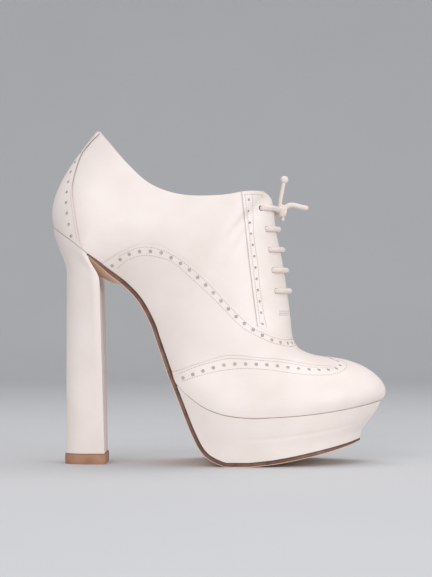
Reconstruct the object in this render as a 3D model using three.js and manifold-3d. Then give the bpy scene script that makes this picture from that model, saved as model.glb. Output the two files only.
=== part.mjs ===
// A right-foot lace-up platform pump with a high block heel, in millimetres.
// X runs from heel to toe, Z is up, and -Y is the outer side of the foot.
import * as THREE from "three";
import Module from "manifold-3d";

const wasm = await Module();
wasm.setup();

// Lengths and heights of the whole shoe
const shoeLength = 198;
const heelHeight = 137.6;
const platformHeight = 28.2;
const toeSpring = 8.5;
const collarRise = 57.1;
const instepRise = 84;
const toeRise = 32;

// Widths of the foot
const ballWidth = 82;
const heelWidth = 54;
const collarWidth = 52;
const toeSwing = 4;

// Leather
const upperWall = 1.8;
const capThickness = 1.1;
const overlayThickness = 0.8;
const clearance = 0.3;
const insoleThickness = 2;
const tongueWall = 1.5;

// Throat and lacing
const throatGap = 6;
const tongueWidth = 34;
const tongueTuck = 8;
const facingCorner = 6;
const laceDiameter = 3;
const laceRows = 5;
const laceTop = 8.8;
const laceFoot = 14.3;
const eyeletReach = 16;
const tieReach = 13;

// Sole and heel
const outsoleThickness = 2.2;
const seatGap = 0.5;
const treadSpring = 13;
const treadInset = 3.5;
const tipInset = 12.5;
const heelBottomLength = 23;
const heelBottomWidth = 32;
const heelSetBack = 7.7;
const heelNeck = 27;
const breastNeck = 15;
const liftThickness = 5.8;
const liftOverhang = 0.7;

const leather = { color: 0xf0e4dd, roughness: 0.45, metalness: 0 };
const lining = { color: 0xe9d8c6, roughness: 0.7, metalness: 0 };
const soleLeather = { color: 0xb98052, roughness: 0.5, metalness: 0 };
const liftRubber = { color: 0x6b4433, roughness: 0.6, metalness: 0 };
const laceCotton = { color: 0xf1e3d8, roughness: 0.6, metalness: 0 };

// Stations round the foot, from the back of the heel to the tip of the toe.
// along, up: the edge where upper meets sole, as shares of the length and the pitch.
// outer, inner: its half widths. dome: how far the middle of the bottom lies lower.
// topAlong, rise, collar: the collar, then the ridge down the instep and the toe.
// low, lowOut, high, highOut: how the wall leaves the sole and reaches the top.
const stationColumns = [
  "along", "up", "outer", "inner", "dome", "topAlong", "rise", "collar",
  "low", "lowOut", "high", "highOut",
];
const collarStations = [
  [0.012, 1.0, 0, 0, 0, 0.139, 1.0, 0, 0.3, 0.5, 0.35, 0.28],
  [0.039, 0.966, 0.63, 0.63, 0.1, 0.176, 0.918, 0.5, 0.32, 0.35, 0.35, 0.2],
  [0.09, 0.899, 0.96, 0.96, 0.22, 0.237, 0.806, 0.79, 0.33, 0.18, 0.35, 0.15],
  [0.123, 0.851, 1.0, 1.0, 0.3, 0.302, 0.706, 0.92, 0.33, 0.15, 0.35, 0.19],
];
const instepStations = [
  [0.177, 0.78, 0.81, 0.79, 0.18, 0.389, 0.502, 1.0, 0.33, 0.33, 0.35, 0.22],
  [0.232, 0.703, 0.66, 0.62, 0, 0.495, 0.596, 1.02, 0.33, 0.48, 0.35, 0.22],
  [0.276, 0.618, 0.6, 0.54, 0, 0.576, 0.735, 0.9, 0.33, 0.54, 0.32, 0.26],
  [0.312, 0.501, 0.58, 0.51, 0, 0.626, 0.893, 0.6, 0.33, 0.54, 0.2, 0.43],
  [0.33, 0.41, 0.6, 0.53, 0, 0.659, 1.0, 0, 0.33, 0.52, 0.08, 0.76],
  [0.348, 0.319, 0.65, 0.58, 0, 0.674, 0.86, 0, 0.32, 0.45, 0, 0.69],
  [0.365, 0.234, 0.71, 0.65, 0, 0.692, 0.767, 0, 0.31, 0.38, 0, 0.63],
  [0.383, 0.161, 0.77, 0.72, 0, 0.707, 0.639, 0, 0.31, 0.3, 0, 0.58],
  [0.444, 0.068, 0.87, 0.84, 0, 0.715, 0.6, 0, 0.33, 0.18, 0, 0.6],
];
const toeStations = [
  [0.507, 0.019, 0.94, 0.93, 0, 0.72, 1.46, 0, 0.36, 0.1, 0, 0.61],
  [0.581, 0, 0.985, 0.985, 0, 0.731, 1.3, 0, 0.4, 0.07, 0, 0.63],
  [0.652, 0, 1.0, 0.995, 0, 0.753, 1.166, 0, 0.45, 0.07, 0, 0.66],
  [0.722, 0, 0.965, 0.95, 0, 0.783, 1.07, 0, 0.45, 0.08, 0, 0.66],
  [0.788, 0, 0.88, 0.86, 0, 0.816, 0.997, 0, 0.42, 0.1, 0, 0.61],
  [0.848, 0, 0.745, 0.73, 0, 0.848, 0.922, 0, 0.38, 0.13, 0, 0.54],
  [0.914, 0, 0.525, 0.515, 0, 0.876, 0.825, 0, 0.33, 0.22, 0, 0.42],
  [0.96, 0, 0.28, 0.28, 0, 0.889, 0.747, 0, 0.3, 0.3, 0, 0.34],
  [0.986, 0, 0, 0, 0, 0.894, 0.703, 0, 0.3, 0.33, 0, 0.32],
];
const breastStation = 3;
const collarStation = 4;
const frontStation = 8;
const platformStation = 11;
const ballStation = 15;

const oddColumns = ["outer", "inner", "collar"];

function readStations() {
  const groups = [
    [collarStations, collarRise],
    [instepStations, instepRise],
    [toeStations, toeRise],
  ];
  return groups.flatMap(([rows, reach]) =>
    rows.map((row) => {
      const station = Object.fromEntries(stationColumns.map((key, i) => [key, row[i]]));
      station.rise *= reach;
      return station;
    }),
  );
}

const stations = readStations();
const lastStation = stations.length - 1;

const lerp = THREE.MathUtils.lerp;
const clamp = THREE.MathUtils.clamp;
const smooth = THREE.MathUtils.smoothstep;

// Numbers from start to end, both included
function steps(start, end, count) {
  return Array.from({ length: count + 1 }, (_, i) => lerp(start, end, i / count));
}

// A station past either end mirrors the one before it, so the outline closes smoothly.
function stationAt(index) {
  const mirrored = index < 0 ? -index : 2 * lastStation - index;
  if (index >= 0 && index <= lastStation) return stations[index];
  const copy = { ...stations[mirrored] };
  oddColumns.forEach((key) => (copy[key] = -copy[key]));
  return copy;
}

function between(t) {
  const start = clamp(Math.floor(t), 0, lastStation - 1);
  const f = t - start;
  const [a, b, c, d] = [-1, 0, 1, 2].map((step) => stationAt(start + step));
  const row = {};
  for (const key of stationColumns) {
    row[key] =
      b[key] +
      0.5 * f * (c[key] - a[key] +
        f * (2 * a[key] - 5 * b[key] + 4 * c[key] - d[key] +
          f * (3 * (b[key] - c[key]) + d[key] - a[key])));
  }
  return row;
}

function halfWidthAt(along) {
  return lerp(heelWidth, ballWidth, smooth(along, 0.12, 0.5)) / 2;
}

function swingAt(x) {
  return toeSwing * clamp((x / shoeLength - 0.5) / 0.5, 0, 1) ** 2;
}

function springAt(along) {
  return toeSpring * clamp((along - 0.581) / 0.405, 0, 1) ** 2;
}

// The edge where upper meets sole. side is -1 on the outer side and 1 on the inner.
function footPoint(t, side) {
  const row = between(t);
  const x = row.along * shoeLength;
  const half = (side < 0 ? row.outer : row.inner) * halfWidthAt(row.along);
  const z = platformHeight + row.up * (heelHeight - platformHeight) + springAt(row.along);
  return new THREE.Vector3(x, swingAt(x) + side * half, z);
}

// The way out of a round end in plan, for a half width given as a share of the widest.
function outward(t, share, side, heelEnd) {
  const lean = Math.sqrt(Math.max(0, 1 - share * share));
  if (t < heelEnd) return new THREE.Vector3(-lean, side * share, 0);
  if (t > ballStation) return new THREE.Vector3(lean, side * share, 0);
  return new THREE.Vector3(0, side, 0);
}

// The outside of the shoe. v runs from the sole, 0, to the collar or ridge, 1.
function surfacePoint(t, side, v) {
  const row = between(t);
  const foot = footPoint(t, side);
  const half = halfWidthAt(row.along);
  const topX = row.topAlong * shoeLength;
  const collar = t < frontStation ? row.collar : 0;
  const topY = swingAt(topX) + (side * collar * collarWidth) / 2;
  const top = new THREE.Vector3(topX, topY, foot.z + row.rise);
  const chord = new THREE.Vector3(top.x - foot.x, 0, top.z - foot.z);
  const edge = clamp(side < 0 ? row.outer : row.inner, 0, 1);
  const topEdge = t < collarStation ? clamp(row.collar, 0, 1) : edge;
  const lowWay = outward(t, edge, side, breastStation);
  const highWay = outward(t, topEdge, side, collarStation);
  if (t > ballStation) highWay.z = -0.27 * highWay.x;
  const low = foot.clone().addScaledVector(chord, row.low);
  low.addScaledVector(lowWay, row.lowOut * half);
  const high = top.clone().addScaledVector(chord, -row.high);
  high.addScaledVector(highWay, row.highOut * half);
  return new THREE.CubicBezierCurve3(foot, low, high, top).getPoint(v);
}

// The bottom of the foot: across is -1 at the outer edge and 1 at the inner.
function bottomPoint(t, across) {
  const outer = footPoint(t, -1);
  const inner = footPoint(t, 1);
  const point = outer.lerp(inner, (across + 1) / 2);
  point.z -= between(t).dome * (heelWidth / 2) * (1 - across * across);
  return point;
}

function stationAlong(x) {
  let low = 0;
  let high = lastStation;
  for (let i = 0; i < 30; i += 1) {
    const middle = (low + high) / 2;
    if (between(middle).along * shoeLength < x) low = middle;
    else high = middle;
  }
  return (low + high) / 2;
}

function bottomHeight(x, y) {
  const t = stationAlong(x);
  const outer = footPoint(t, -1);
  const inner = footPoint(t, 1);
  const across = clamp((2 * (y - outer.y)) / Math.max(inner.y - outer.y, 0.01) - 1, -1, 1);
  return bottomPoint(t, across).z;
}

// The way down and out of the bottom, square to it in side view.
function bottomNormal(t) {
  const step = 0.05;
  const back = bottomPoint(Math.max(t - step, 0), 1);
  const front = bottomPoint(Math.min(t + step, lastStation), 1);
  return new THREE.Vector3(front.z - back.z, 0, back.x - front.x).normalize();
}

// The same edge carried on past either end, onto the other side of the foot
function edgePoint(t, side) {
  if (t < 0) return footPoint(-t, -side);
  return t > lastStation ? footPoint(2 * lastStation - t, -side) : footPoint(t, side);
}

// Where a layer that deep in the wall meets the bottom, square to the bottom's edge
function insetFoot(t, side, depth) {
  const foot = footPoint(t, side);
  const step = 0.02;
  const along = edgePoint(t + step, side).sub(edgePoint(t - step, side)).normalize();
  const inward = along.clone().cross(bottomNormal(t)).normalize();
  const middle = bottomPoint(clamp(t, breastStation, ballStation), 0).sub(foot);
  if (inward.dot(middle) < 0) inward.negate();
  const rise = surfacePoint(t, side, step).sub(foot).normalize();
  const slope = bottomPoint(t, side * 0.9).sub(foot).normalize();
  const inSlope = t > 0.5 && t < platformStation ? slope : inward;
  const across = clamp(inSlope.clone().cross(rise).length(), 0.45, 1);
  const point = foot.clone().addScaledVector(inward, depth / across);
  point.z = bottomHeight(point.x, point.y);
  return point;
}

function solidOf(points, faces) {
  const places = new Map();
  const kept = [];
  const index = points.map((p) => {
    const key = [p.x, p.y, p.z].map((c) => Math.round(c * 1e4)).join();
    if (!places.has(key)) {
      places.set(key, kept.length / 3);
      kept.push(p.x, p.y, p.z);
    }
    return places.get(key);
  });
  const triangles = [];
  let volume = 0;
  for (const face of faces) {
    const [a, b, c] = face.map((corner) => index[corner]);
    if (a === b || b === c || a === c) continue;
    triangles.push(a, b, c);
    const [p, q, r] = [a, b, c].map((i) => new THREE.Vector3().fromArray(kept, 3 * i));
    volume += p.dot(q.cross(r));
  }
  if (volume < 0) triangles.reverse();
  const mesh = new wasm.Mesh({
    numProp: 3,
    vertProperties: new Float32Array(kept),
    triVerts: new Uint32Array(triangles),
  });
  return new wasm.Manifold(mesh);
}

function solidFrom(geometry) {
  const flat = geometry.index ? geometry.toNonIndexed() : geometry;
  const place = flat.attributes.position;
  const points = [];
  const faces = [];
  for (let i = 0; i < place.count; i += 1) {
    points.push(new THREE.Vector3().fromBufferAttribute(place, i));
    if (i % 3 === 2) faces.push([i - 2, i - 1, i]);
  }
  return solidOf(points, faces);
}

// A closed body from stacked grids of points: the first and last are its faces,
// and those between them only give their edges.
function slab(layers) {
  const points = [];
  const faces = [];
  const rows = layers[0].length;
  const columns = layers[0][0].length;
  const at = (layer, row, column) => (layer * rows + row) * columns + column;
  layers.forEach((grid) => grid.forEach((row) => points.push(...row)));
  const quad = (a, b, c, d) => faces.push([a, b, c], [a, c, d]);
  const last = layers.length - 1;
  for (let r = 0; r < rows - 1; r += 1) {
    for (let c = 0; c < columns - 1; c += 1) {
      quad(at(0, r, c), at(0, r + 1, c), at(0, r + 1, c + 1), at(0, r, c + 1));
      quad(at(last, r, c), at(last, r, c + 1), at(last, r + 1, c + 1), at(last, r + 1, c));
    }
  }
  for (let k = 0; k < last; k += 1) {
    for (let r = 0; r < rows - 1; r += 1) {
      quad(at(k, r, 0), at(k + 1, r, 0), at(k + 1, r + 1, 0), at(k, r + 1, 0));
      const c = columns - 1;
      quad(at(k, r, c), at(k, r + 1, c), at(k + 1, r + 1, c), at(k + 1, r, c));
    }
    for (let c = 0; c < columns - 1; c += 1) {
      quad(at(k, 0, c), at(k, 0, c + 1), at(k + 1, 0, c + 1), at(k + 1, 0, c));
      const r = rows - 1;
      quad(at(k, r, c), at(k + 1, r, c), at(k + 1, r, c + 1), at(k, r, c + 1));
    }
  }
  return solidOf(points, faces);
}

// The wall of the upper between two depths below its outside, open at collar and sole.
const wallSteps = 8;
const wallStations = [
  ...steps(0, 1, 4),
  ...steps(1, breastStation, 4).slice(1),
  ...steps(breastStation, frontStation, 8).slice(1),
  ...steps(frontStation, platformStation, 4).slice(1),
  ...steps(platformStation, ballStation, 6).slice(1),
  ...steps(ballStation, lastStation - 1, 7).slice(1),
  ...steps(lastStation - 1, lastStation, 3).slice(1),
];
const loopSteps = wallStations.length - 1;

function wallGrid() {
  const grid = [];
  for (const side of [-1, 1]) {
    for (const t of wallStations) {
      const ridge = t >= frontStation;
      const column = [];
      for (let j = 0; j <= wallSteps; j += 1) {
        column.push({ point: surfacePoint(t, side, j / wallSteps), t, side, ridge });
      }
      grid.push(column);
    }
  }
  return grid;
}

const outsideGrid = wallGrid();

// Corners of the outside's quads, as pairs of places in the grid that share an edge.
function wallQuads() {
  const quads = [];
  const count = loopSteps + 1;
  for (let s = 0; s < 2; s += 1) {
    for (let i = 0; i < loopSteps; i += 1) {
      for (let j = 0; j < wallSteps; j += 1) {
        const corners = [[i, j], [i + 1, j], [i + 1, j + 1], [i, j + 1]];
        const [p, q, r, u] = corners.map(([a, b]) => [a + s * count, b]);
        quads.push(s ? [p, u, r, q] : [p, q, r, u]);
      }
    }
  }
  return quads;
}

function outsideNormals() {
  const keyOf = (p) => [p.x, p.y, p.z].map((c) => Math.round(c * 1e3)).join();
  const sums = new Map();
  for (const quad of wallQuads()) {
    const [a, b, c, d] = quad.map(([i, j]) => outsideGrid[i][j].point);
    const normal = c.clone().sub(a).cross(d.clone().sub(b));
    for (const p of [a, b, c, d]) {
      const key = keyOf(p);
      sums.set(key, (sums.get(key) ?? new THREE.Vector3()).add(normal));
    }
  }
  return (p) => sums.get(keyOf(p)).clone().normalize();
}

const normalAt = outsideNormals();

function depthPoint(place, j, depth) {
  if (j === 0) return insetFoot(place.t, place.side, depth);
  return place.point.clone().addScaledVector(normalAt(place.point), -depth);
}

function wallBetween(shallow, deep) {
  const points = [];
  const index = new Map();
  const layers = [shallow, deep];
  outsideGrid.forEach((column, i) =>
    column.forEach((place, j) =>
      layers.forEach((depth, k) => {
        index.set(`${i} ${j} ${k}`, points.length);
        points.push(depthPoint(place, j, depth));
      }),
    ),
  );
  const at = ([i, j], k) => index.get(`${i} ${j} ${k}`);
  const faces = [];
  const add = (a, b, c, d) => faces.push([a, b, c], [a, c, d]);
  for (const [a, b, c, d] of wallQuads()) {
    add(at(a, 0), at(b, 0), at(c, 0), at(d, 0));
    add(at(a, 1), at(d, 1), at(c, 1), at(b, 1));
  }
  const count = loopSteps + 1;
  for (let s = 0; s < 2; s += 1) {
    for (let i = 0; i < loopSteps; i += 1) {
      const [first, second] = s ? [i + 1 + count, i + count] : [i, i + 1];
      add(at([first, 0], 0), at([first, 0], 1), at([second, 0], 1), at([second, 0], 0));
      const joined = outsideGrid[first][0].ridge && outsideGrid[second][0].ridge;
      if (joined) continue;
      const j = wallSteps;
      add(at([second, j], 0), at([second, j], 1), at([first, j], 1), at([first, j], 0));
    }
  }
  return solidOf(points, faces);
}

const upperDepth = capThickness + clearance;
const innerDepth = upperDepth + upperWall;
const overlayDepth = capThickness - overlayThickness;
const reach = 60;

// A body with one outline along a whole axis: in side view through Y, in plan through Z
function prism(outline, start, end, side) {
  const shape = new THREE.Shape(outline);
  const settings = { depth: end - start, bevelEnabled: false, curveSegments: 1 };
  const geometry = new THREE.ExtrudeGeometry(shape, settings);
  geometry.translate(0, 0, side ? -end : start);
  if (side) geometry.rotateX(Math.PI / 2);
  return solidFrom(geometry);
}

function sidePrism(outline) {
  return prism(outline, -reach, reach, true);
}

function topPrism(outline) {
  return prism(outline, 0, heelHeight + collarRise, false);
}

// A seam in side view: places on the outside given as [station, v], joined smoothly
function seam(places, steps) {
  const points = places.map(([t, v]) => {
    const point = surfacePoint(t, -1, v);
    return new THREE.Vector2(point.x, point.z);
  });
  return new THREE.SplineCurve(points).getPoints(steps);
}

const capSeam = [
  [10, 0], [10.22, 0.04], [10.83, 0.19], [11.37, 0.34], [12.62, 0.49], [13.83, 0.6],
  [15.65, 0.66], [16.81, 0.7],
];
const vampSeam = [
  [3.75, 0], [3.94, 0.175], [4.25, 0.35], [4.6, 0.4], [5.07, 0.41], [6.48, 0.375],
  [7.56, 0.355], [8.57, 0.38], [10.33, 0.485], [11.12, 0.55], [11.89, 0.63],
  [12.79, 0.75], [13.6, 1],
];
const facingSeam = [
  [5.95, 0.985], [7.57, 0.695], [8.69, 0.612], [9.65, 0.591], [10.62, 0.58],
  [11.27, 0.565],
];
const counterSeam = [
  [0.4, 0.97], [0.33, 0.885], [0.37, 0.765], [0.83, 0.505], [1.36, 0.29],
  [1.99, 0.06], [2.5, 0],
];
const capPeak = { along: 0.813, dipAlong: 0.852, dipWidth: 0.11, wingWidth: 0.192 };

function under(line, grow, startX) {
  const low = line.map((p) => new THREE.Vector2(p.x, p.y + grow));
  const end = low[low.length - 1];
  return [
    new THREE.Vector2(startX, low[0].y), ...low,
    new THREE.Vector2(end.x + grow, end.y), new THREE.Vector2(end.x + grow, -1),
    new THREE.Vector2(startX, -1),
  ];
}

// The wings of the toe cap in side view, joined to its front in plan
function capRegion(grow) {
  const line = seam(capSeam, 24);
  const join = line[line.length - 1];
  const wings = sidePrism(under(line, grow, 0.3 * shoeLength));
  const dipX = capPeak.dipAlong * shoeLength - grow;
  const peakX = capPeak.along * shoeLength - grow;
  const middle = swingAt(peakX);
  const dip = capPeak.dipWidth * ballWidth;
  const wing = capPeak.wingWidth * ballWidth;
  const front = topPrism([
    new THREE.Vector2(peakX, middle),
    new THREE.Vector2(dipX, middle - dip),
    new THREE.Vector2(join.x - grow, middle - wing),
    new THREE.Vector2(join.x - grow, -reach),
    new THREE.Vector2(shoeLength + reach, -reach),
    new THREE.Vector2(shoeLength + reach, reach),
    new THREE.Vector2(join.x - grow, reach),
    new THREE.Vector2(join.x - grow, middle + wing),
    new THREE.Vector2(dipX, middle + dip),
  ]);
  return wings.add(front);
}

function vampRegion(grow) {
  const line = seam(vampSeam, 36);
  const rear = line[0].x - grow;
  const throat = line[line.length - 1];
  const back = sidePrism(under(line, grow, rear));
  const front = sidePrism([
    new THREE.Vector2(throat.x, -1),
    new THREE.Vector2(shoeLength + reach, -1),
    new THREE.Vector2(shoeLength + reach, throat.y + grow),
    new THREE.Vector2(throat.x, throat.y + grow),
  ]);
  return back.add(front);
}

const facingFront = surfacePoint(frontStation, 1, 1);
const throatStation = 12;
const throatFoot = surfacePoint(throatStation, 1, 1);
const throatDepth = 30;

// A block of the given width down the front of the shoe, between two heights
function frontStrip(width, bottom, top) {
  const middle = swingAt(throatFoot.x);
  const outline = [[-1, -1], [1, -1], [1, 1], [-1, 1]].map(([along, across]) =>
    new THREE.Vector2(throatFoot.x + along * throatDepth, middle + (across * width) / 2),
  );
  return prism(outline, bottom, top, false);
}

// The gap between the two facings, down to where the throat closes
function throatSlot() {
  return frontStrip(throatGap, throatFoot.z, facingFront.z + reach);
}

// What is cut off the top front corners of the facings
function facingCorners() {
  const centre = new THREE.Vector2(
    facingFront.x - facingCorner + 2 * clearance, facingFront.z - facingCorner + clearance,
  );
  const arc = steps(0, Math.PI / 2, 6).map((angle) =>
    new THREE.Vector2(Math.cos(angle), Math.sin(angle))
      .multiplyScalar(facingCorner).add(centre),
  );
  const out = facingFront.x + reach;
  const up = facingFront.z + reach;
  return sidePrism([
    ...arc, new THREE.Vector2(centre.x, up), new THREE.Vector2(out, up),
    new THREE.Vector2(out, centre.y),
  ]);
}

function lastUpper() {
  return wallBetween(upperDepth, innerDepth)
    .subtract(throatSlot()).subtract(facingCorners());
}

function tongue() {
  const wall = wallBetween(innerDepth + clearance, innerDepth + clearance + tongueWall);
  const bottom = throatFoot.z - tongueTuck;
  const top = facingFront.z - facingCorner;
  return wall.intersect(frontStrip(tongueWidth, bottom, top));
}

const overlayWall = wallBetween(overlayDepth, capThickness);

function toeCap() {
  return wallBetween(0, capThickness).intersect(capRegion(0));
}

function vamp() {
  return overlayWall.intersect(vampRegion(0)).subtract(capRegion(clearance));
}

function facings() {
  const line = seam(facingSeam, 12);
  const foot = line[line.length - 1];
  const top = facingFront.z + reach;
  const region = sidePrism([
    new THREE.Vector2(line[0].x, top), ...line, new THREE.Vector2(foot.x, 0),
    new THREE.Vector2(shoeLength, 0), new THREE.Vector2(shoeLength, top),
  ]);
  return overlayWall.intersect(region).subtract(vampRegion(clearance))
    .subtract(throatSlot()).subtract(facingCorners());
}

// One facing: the outer one for side -1, the inner one for side 1
function facing(side) {
  const middle = swingAt(throatFoot.x) + (side * clearance) / 2;
  const half = topPrism([
    [0, middle], [shoeLength, middle], [shoeLength, side * reach], [0, side * reach],
  ].map(([x, y]) => new THREE.Vector2(x, y)));
  return facings().intersect(half);
}

function heelCounter() {
  const line = seam(counterSeam, 20);
  const foot = line[line.length - 1];
  const top = line[0].y + reach;
  const region = sidePrism([
    ...line, new THREE.Vector2(foot.x, 0), new THREE.Vector2(-reach, 0),
    new THREE.Vector2(-reach, top), new THREE.Vector2(line[0].x, top),
  ]);
  return overlayWall.intersect(region);
}

// The front of the shoe at a height and a distance from its middle, raised off it
function frontPoint(y, height, lift) {
  const side = y < 0 ? -1 : 1;
  const middle = swingAt(throatFoot.x);
  const placeAt = (t) => {
    let low = 0.3;
    let high = 1;
    for (let i = 0; i < 24; i += 1) {
      const v = (low + high) / 2;
      if (Math.abs(surfacePoint(t, side, v).y - middle) > Math.abs(y)) low = v;
      else high = v;
    }
    return high;
  };
  let low = frontStation - 1;
  let high = throatStation + 2;
  for (let i = 0; i < 24; i += 1) {
    const t = (low + high) / 2;
    if (surfacePoint(t, side, placeAt(t)).z > height) low = t;
    else high = t;
  }
  const v = placeAt(low);
  const step = 0.02;
  const point = surfacePoint(low, side, v);
  const up = surfacePoint(low - step, side, v).sub(surfacePoint(low + step, side, v));
  const round = surfacePoint(low, side, v).sub(surfacePoint(low, side, v - step));
  const way = up.cross(round).normalize();
  if (way.x < 0) way.negate();
  return point.addScaledVector(way, lift);
}

// A round cord with eight sides along a smooth path
function cord(path, diameter) {
  const corners = steps(0, 2 * Math.PI, 8).slice(0, 8).map((angle) =>
    new THREE.Vector2(Math.cos(angle), Math.sin(angle)).multiplyScalar(diameter / 2),
  );
  const curve = new THREE.CatmullRomCurve3(path);
  const count = Math.ceil(curve.getLength() / (2 * diameter));
  const settings = { steps: count, extrudePath: curve };
  return solidFrom(new THREE.ExtrudeGeometry(new THREE.Shape(corners), settings));
}

const laceHeights = steps(
  facingFront.z - laceTop, throatFoot.z + laceFoot, laceRows - 1,
);

function laceBar(height) {
  const places = steps(-eyeletReach, eyeletReach, 8);
  return cord(places.map((y) => frontPoint(y, height, laceDiameter / 2)), laceDiameter);
}

// The tied top of the lace, measured from the front of the highest eyelets
const knotSize = new THREE.Vector3(6, 8, 9);
const knotCentre = frontPoint(0, laceHeights[0] - 1, knotSize.x / 2 + 2 * clearance);
const tieRoute = [[-0.9, 4.3, 0.4], [-3, 8, 0.9]];
const upRoute = [[0.2, -0.4, 4.7], [0.7, -1, 9.5], [1.2, -1.5, 14], [1.5, -1.6, 17.8]];
const aheadRoute = [
  [2.9, 0.5, 2.6], [5.4, 1, 3.9], [8.8, 1.4, 3.6], [12.8, 1.7, 2.4], [16.3, 1.8, 1.7],
];
const tieSeat = 0.7;
const tipSize = 5;

function fromKnot(route) {
  return route.map((place) => new THREE.Vector3(...place).add(knotCentre));
}

function laceTie(side) {
  const near = fromKnot(tieRoute.map(([x, y, z]) => [x, side * y, z]));
  const outer = frontPoint(side * tieReach, laceHeights[0], tieSeat);
  return cord([...near, outer], laceDiameter);
}

function ball(size, centre) {
  const geometry = new THREE.SphereGeometry(0.5, 10, 7);
  geometry.scale(size.x, size.y, size.z).translate(centre.x, centre.y, centre.z);
  return solidFrom(geometry);
}

function laceEndUp() {
  const path = fromKnot(upRoute);
  const tip = ball(new THREE.Vector3(tipSize, tipSize, tipSize), path[path.length - 1]);
  return cord(path, laceDiameter).add(tip);
}

function meshOf(name, solid, material) {
  const data = solid.getMesh();
  const places = new Float32Array(data.numVert * 3);
  for (let i = 0; i < data.numVert; i += 1) {
    for (let k = 0; k < 3; k += 1) {
      places[3 * i + k] = data.vertProperties[i * data.numProp + k];
    }
  }
  const geometry = new THREE.BufferGeometry();
  geometry.setAttribute("position", new THREE.BufferAttribute(places, 3));
  geometry.setIndex(new THREE.BufferAttribute(data.triVerts, 1));
  geometry.computeVertexNormals();
  const mesh = new THREE.Mesh(geometry, new THREE.MeshStandardMaterial(material));
  mesh.name = name;
  return mesh;
}

const acrossSteps = steps(-1, 1, 6);
const middleStep = 3;

// The outer face of the sole, down the back of the platform and along the tread:
// the station above it, its place along the shoe and its share of the platform's height.
const treadColumns = ["station", "along", "up"];
const treadRows = [
  [10.7, 0.3572, 1.773],
  [11.15, 0.3755, 1.465],
  [11.4, 0.389, 1.22],
  [12, 0.424, 0.62],
  [12.5, 0.449, 0.3],
  [13, 0.478, 0.12],
  [13.5, 0.52, 0],
  [14, 0.55, 0],
  [14.5, 0.586, 0],
].map((row) => Object.fromEntries(treadColumns.map((key, i) => [key, row[i]])));
const treadStart = 0.586;

function treadPoint(t, across) {
  const outer = footPoint(t, -1);
  const inner = footPoint(t, 1);
  const middle = (outer.y + inner.y) / 2;
  const inset = treadInset * clamp((t - platformStation) / 2, 0, 1);
  const half = Math.max((inner.y - outer.y) / 2 - inset, 0);
  const shift = clamp((t - ballStation) / (lastStation - ballStation), 0, 1) ** 1.6;
  const x = outer.x - tipInset * shift;
  const tipX = stations[lastStation].along * shoeLength - tipInset;
  const startX = treadStart * shoeLength;
  const z = treadSpring * clamp((x - startX) / (tipX - startX), 0, 1) ** 1.4;
  return new THREE.Vector3(x, middle + across * half, z);
}

function soleRow(t) {
  const row = treadRows.find((entry) => entry.station === t);
  if (!row && t <= platformStation) {
    const way = bottomNormal(t);
    return acrossSteps.map((across) =>
      bottomPoint(t, across).addScaledVector(way, seatGap + outsoleThickness),
    );
  }
  return acrossSteps.map((across) => {
    const point = treadPoint(t, across);
    if (row) {
      point.x = row.along * shoeLength;
      point.z = row.up * platformHeight;
    }
    return point;
  });
}

const waistStations = wallStations.filter(
  (t) => t >= breastStation && t < treadRows[0].station,
);
const forepartStations = [
  ...treadRows.map((row) => row.station), ...steps(ballStation, lastStation, 10),
];
const soleRows = [...waistStations, ...forepartStations].map(soleRow);

// The same rows moved square to the sole's path in side view, up into the shoe
function raised(rows, distance) {
  return rows.map((row, i) => {
    const before = rows[Math.max(i - 1, 0)][middleStep];
    const after = rows[Math.min(i + 1, rows.length - 1)][middleStep];
    const way = new THREE.Vector3(before.z - after.z, 0, after.x - before.x).normalize();
    return row.map((point) => point.clone().addScaledVector(way, distance));
  });
}

function outsole() {
  return slab([raised(soleRows, outsoleThickness), soleRows]);
}

// The side of the platform: how far up, and how far out from the tread to the upper
const platformSide = [
  { up: 1, out: 1 },
  { up: 0.72, out: 0.75 },
  { up: 0.45, out: 0.41 },
  { up: 0.22, out: 0.13 },
  { up: 0, out: 0 },
];

function platform() {
  const top = forepartStations.slice(1).map((t) =>
    acrossSteps.map((across) =>
      bottomPoint(t, across).addScaledVector(bottomNormal(t), clearance),
    ),
  );
  const lifted = raised(soleRows, outsoleThickness + clearance);
  const bottom = lifted.slice(waistStations.length + 1);
  return slab(
    platformSide.map(({ up, out }) =>
      bottom.map((row, r) =>
        row.map((low, c) => {
          const high = top[r][c];
          return new THREE.Vector3(
            lerp(low.x, high.x, out), lerp(low.y, high.y, out), lerp(low.z, high.z, up),
          );
        }),
      ),
    ),
  );
}

// The heel block: its back steps in and its breast forward below the seat,
// and the rounded seat becomes nearly square at the floor.
const heelSquareness = 4;
const breastGap = 0.04;
const breastRoom = 0.3;
const heelDepths = [0, 0.04, 0.08, 0.13, 0.2, 0.3, 0.6, 1];
const heelStations = wallStations.filter((t) => t <= breastStation);

function heelLayer(down, bottomZ, overhang) {
  const back = footPoint(0, 1).x;
  const breast = footPoint(breastStation, 1).x;
  return heelStations.map((t) => {
    const foot = footPoint(t, 1);
    const forward = (foot.x - back) / (breast - back);
    const seatHalf = foot.y / (heelWidth / 2);
    const squareHalf = (1 - (1 - forward) ** heelSquareness) ** (1 / heelSquareness);
    return acrossSteps.map((across) => {
      const seat = bottomPoint(t, across).addScaledVector(bottomNormal(t), seatGap);
      const z = lerp(seat.z, bottomZ, down);
      const backShift = (heelSetBack - overhang) * smooth(seat.z - z, 0, heelNeck);
      const breastNear = smooth(seat.z - z, 0, breastNeck);
      const breastFull = heelSetBack + heelBottomLength + overhang - (breast - back);
      const breastShift = breastFull * lerp(breastNear, down, 0.3);
      const shift = lerp(backShift, breastShift, forward);
      const half = lerp(heelWidth, heelBottomWidth + 2 * overhang, down) / 2;
      const y = across * half * lerp(seatHalf, squareHalf, down);
      return new THREE.Vector3(seat.x + shift, y, z);
    });
  });
}

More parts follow.
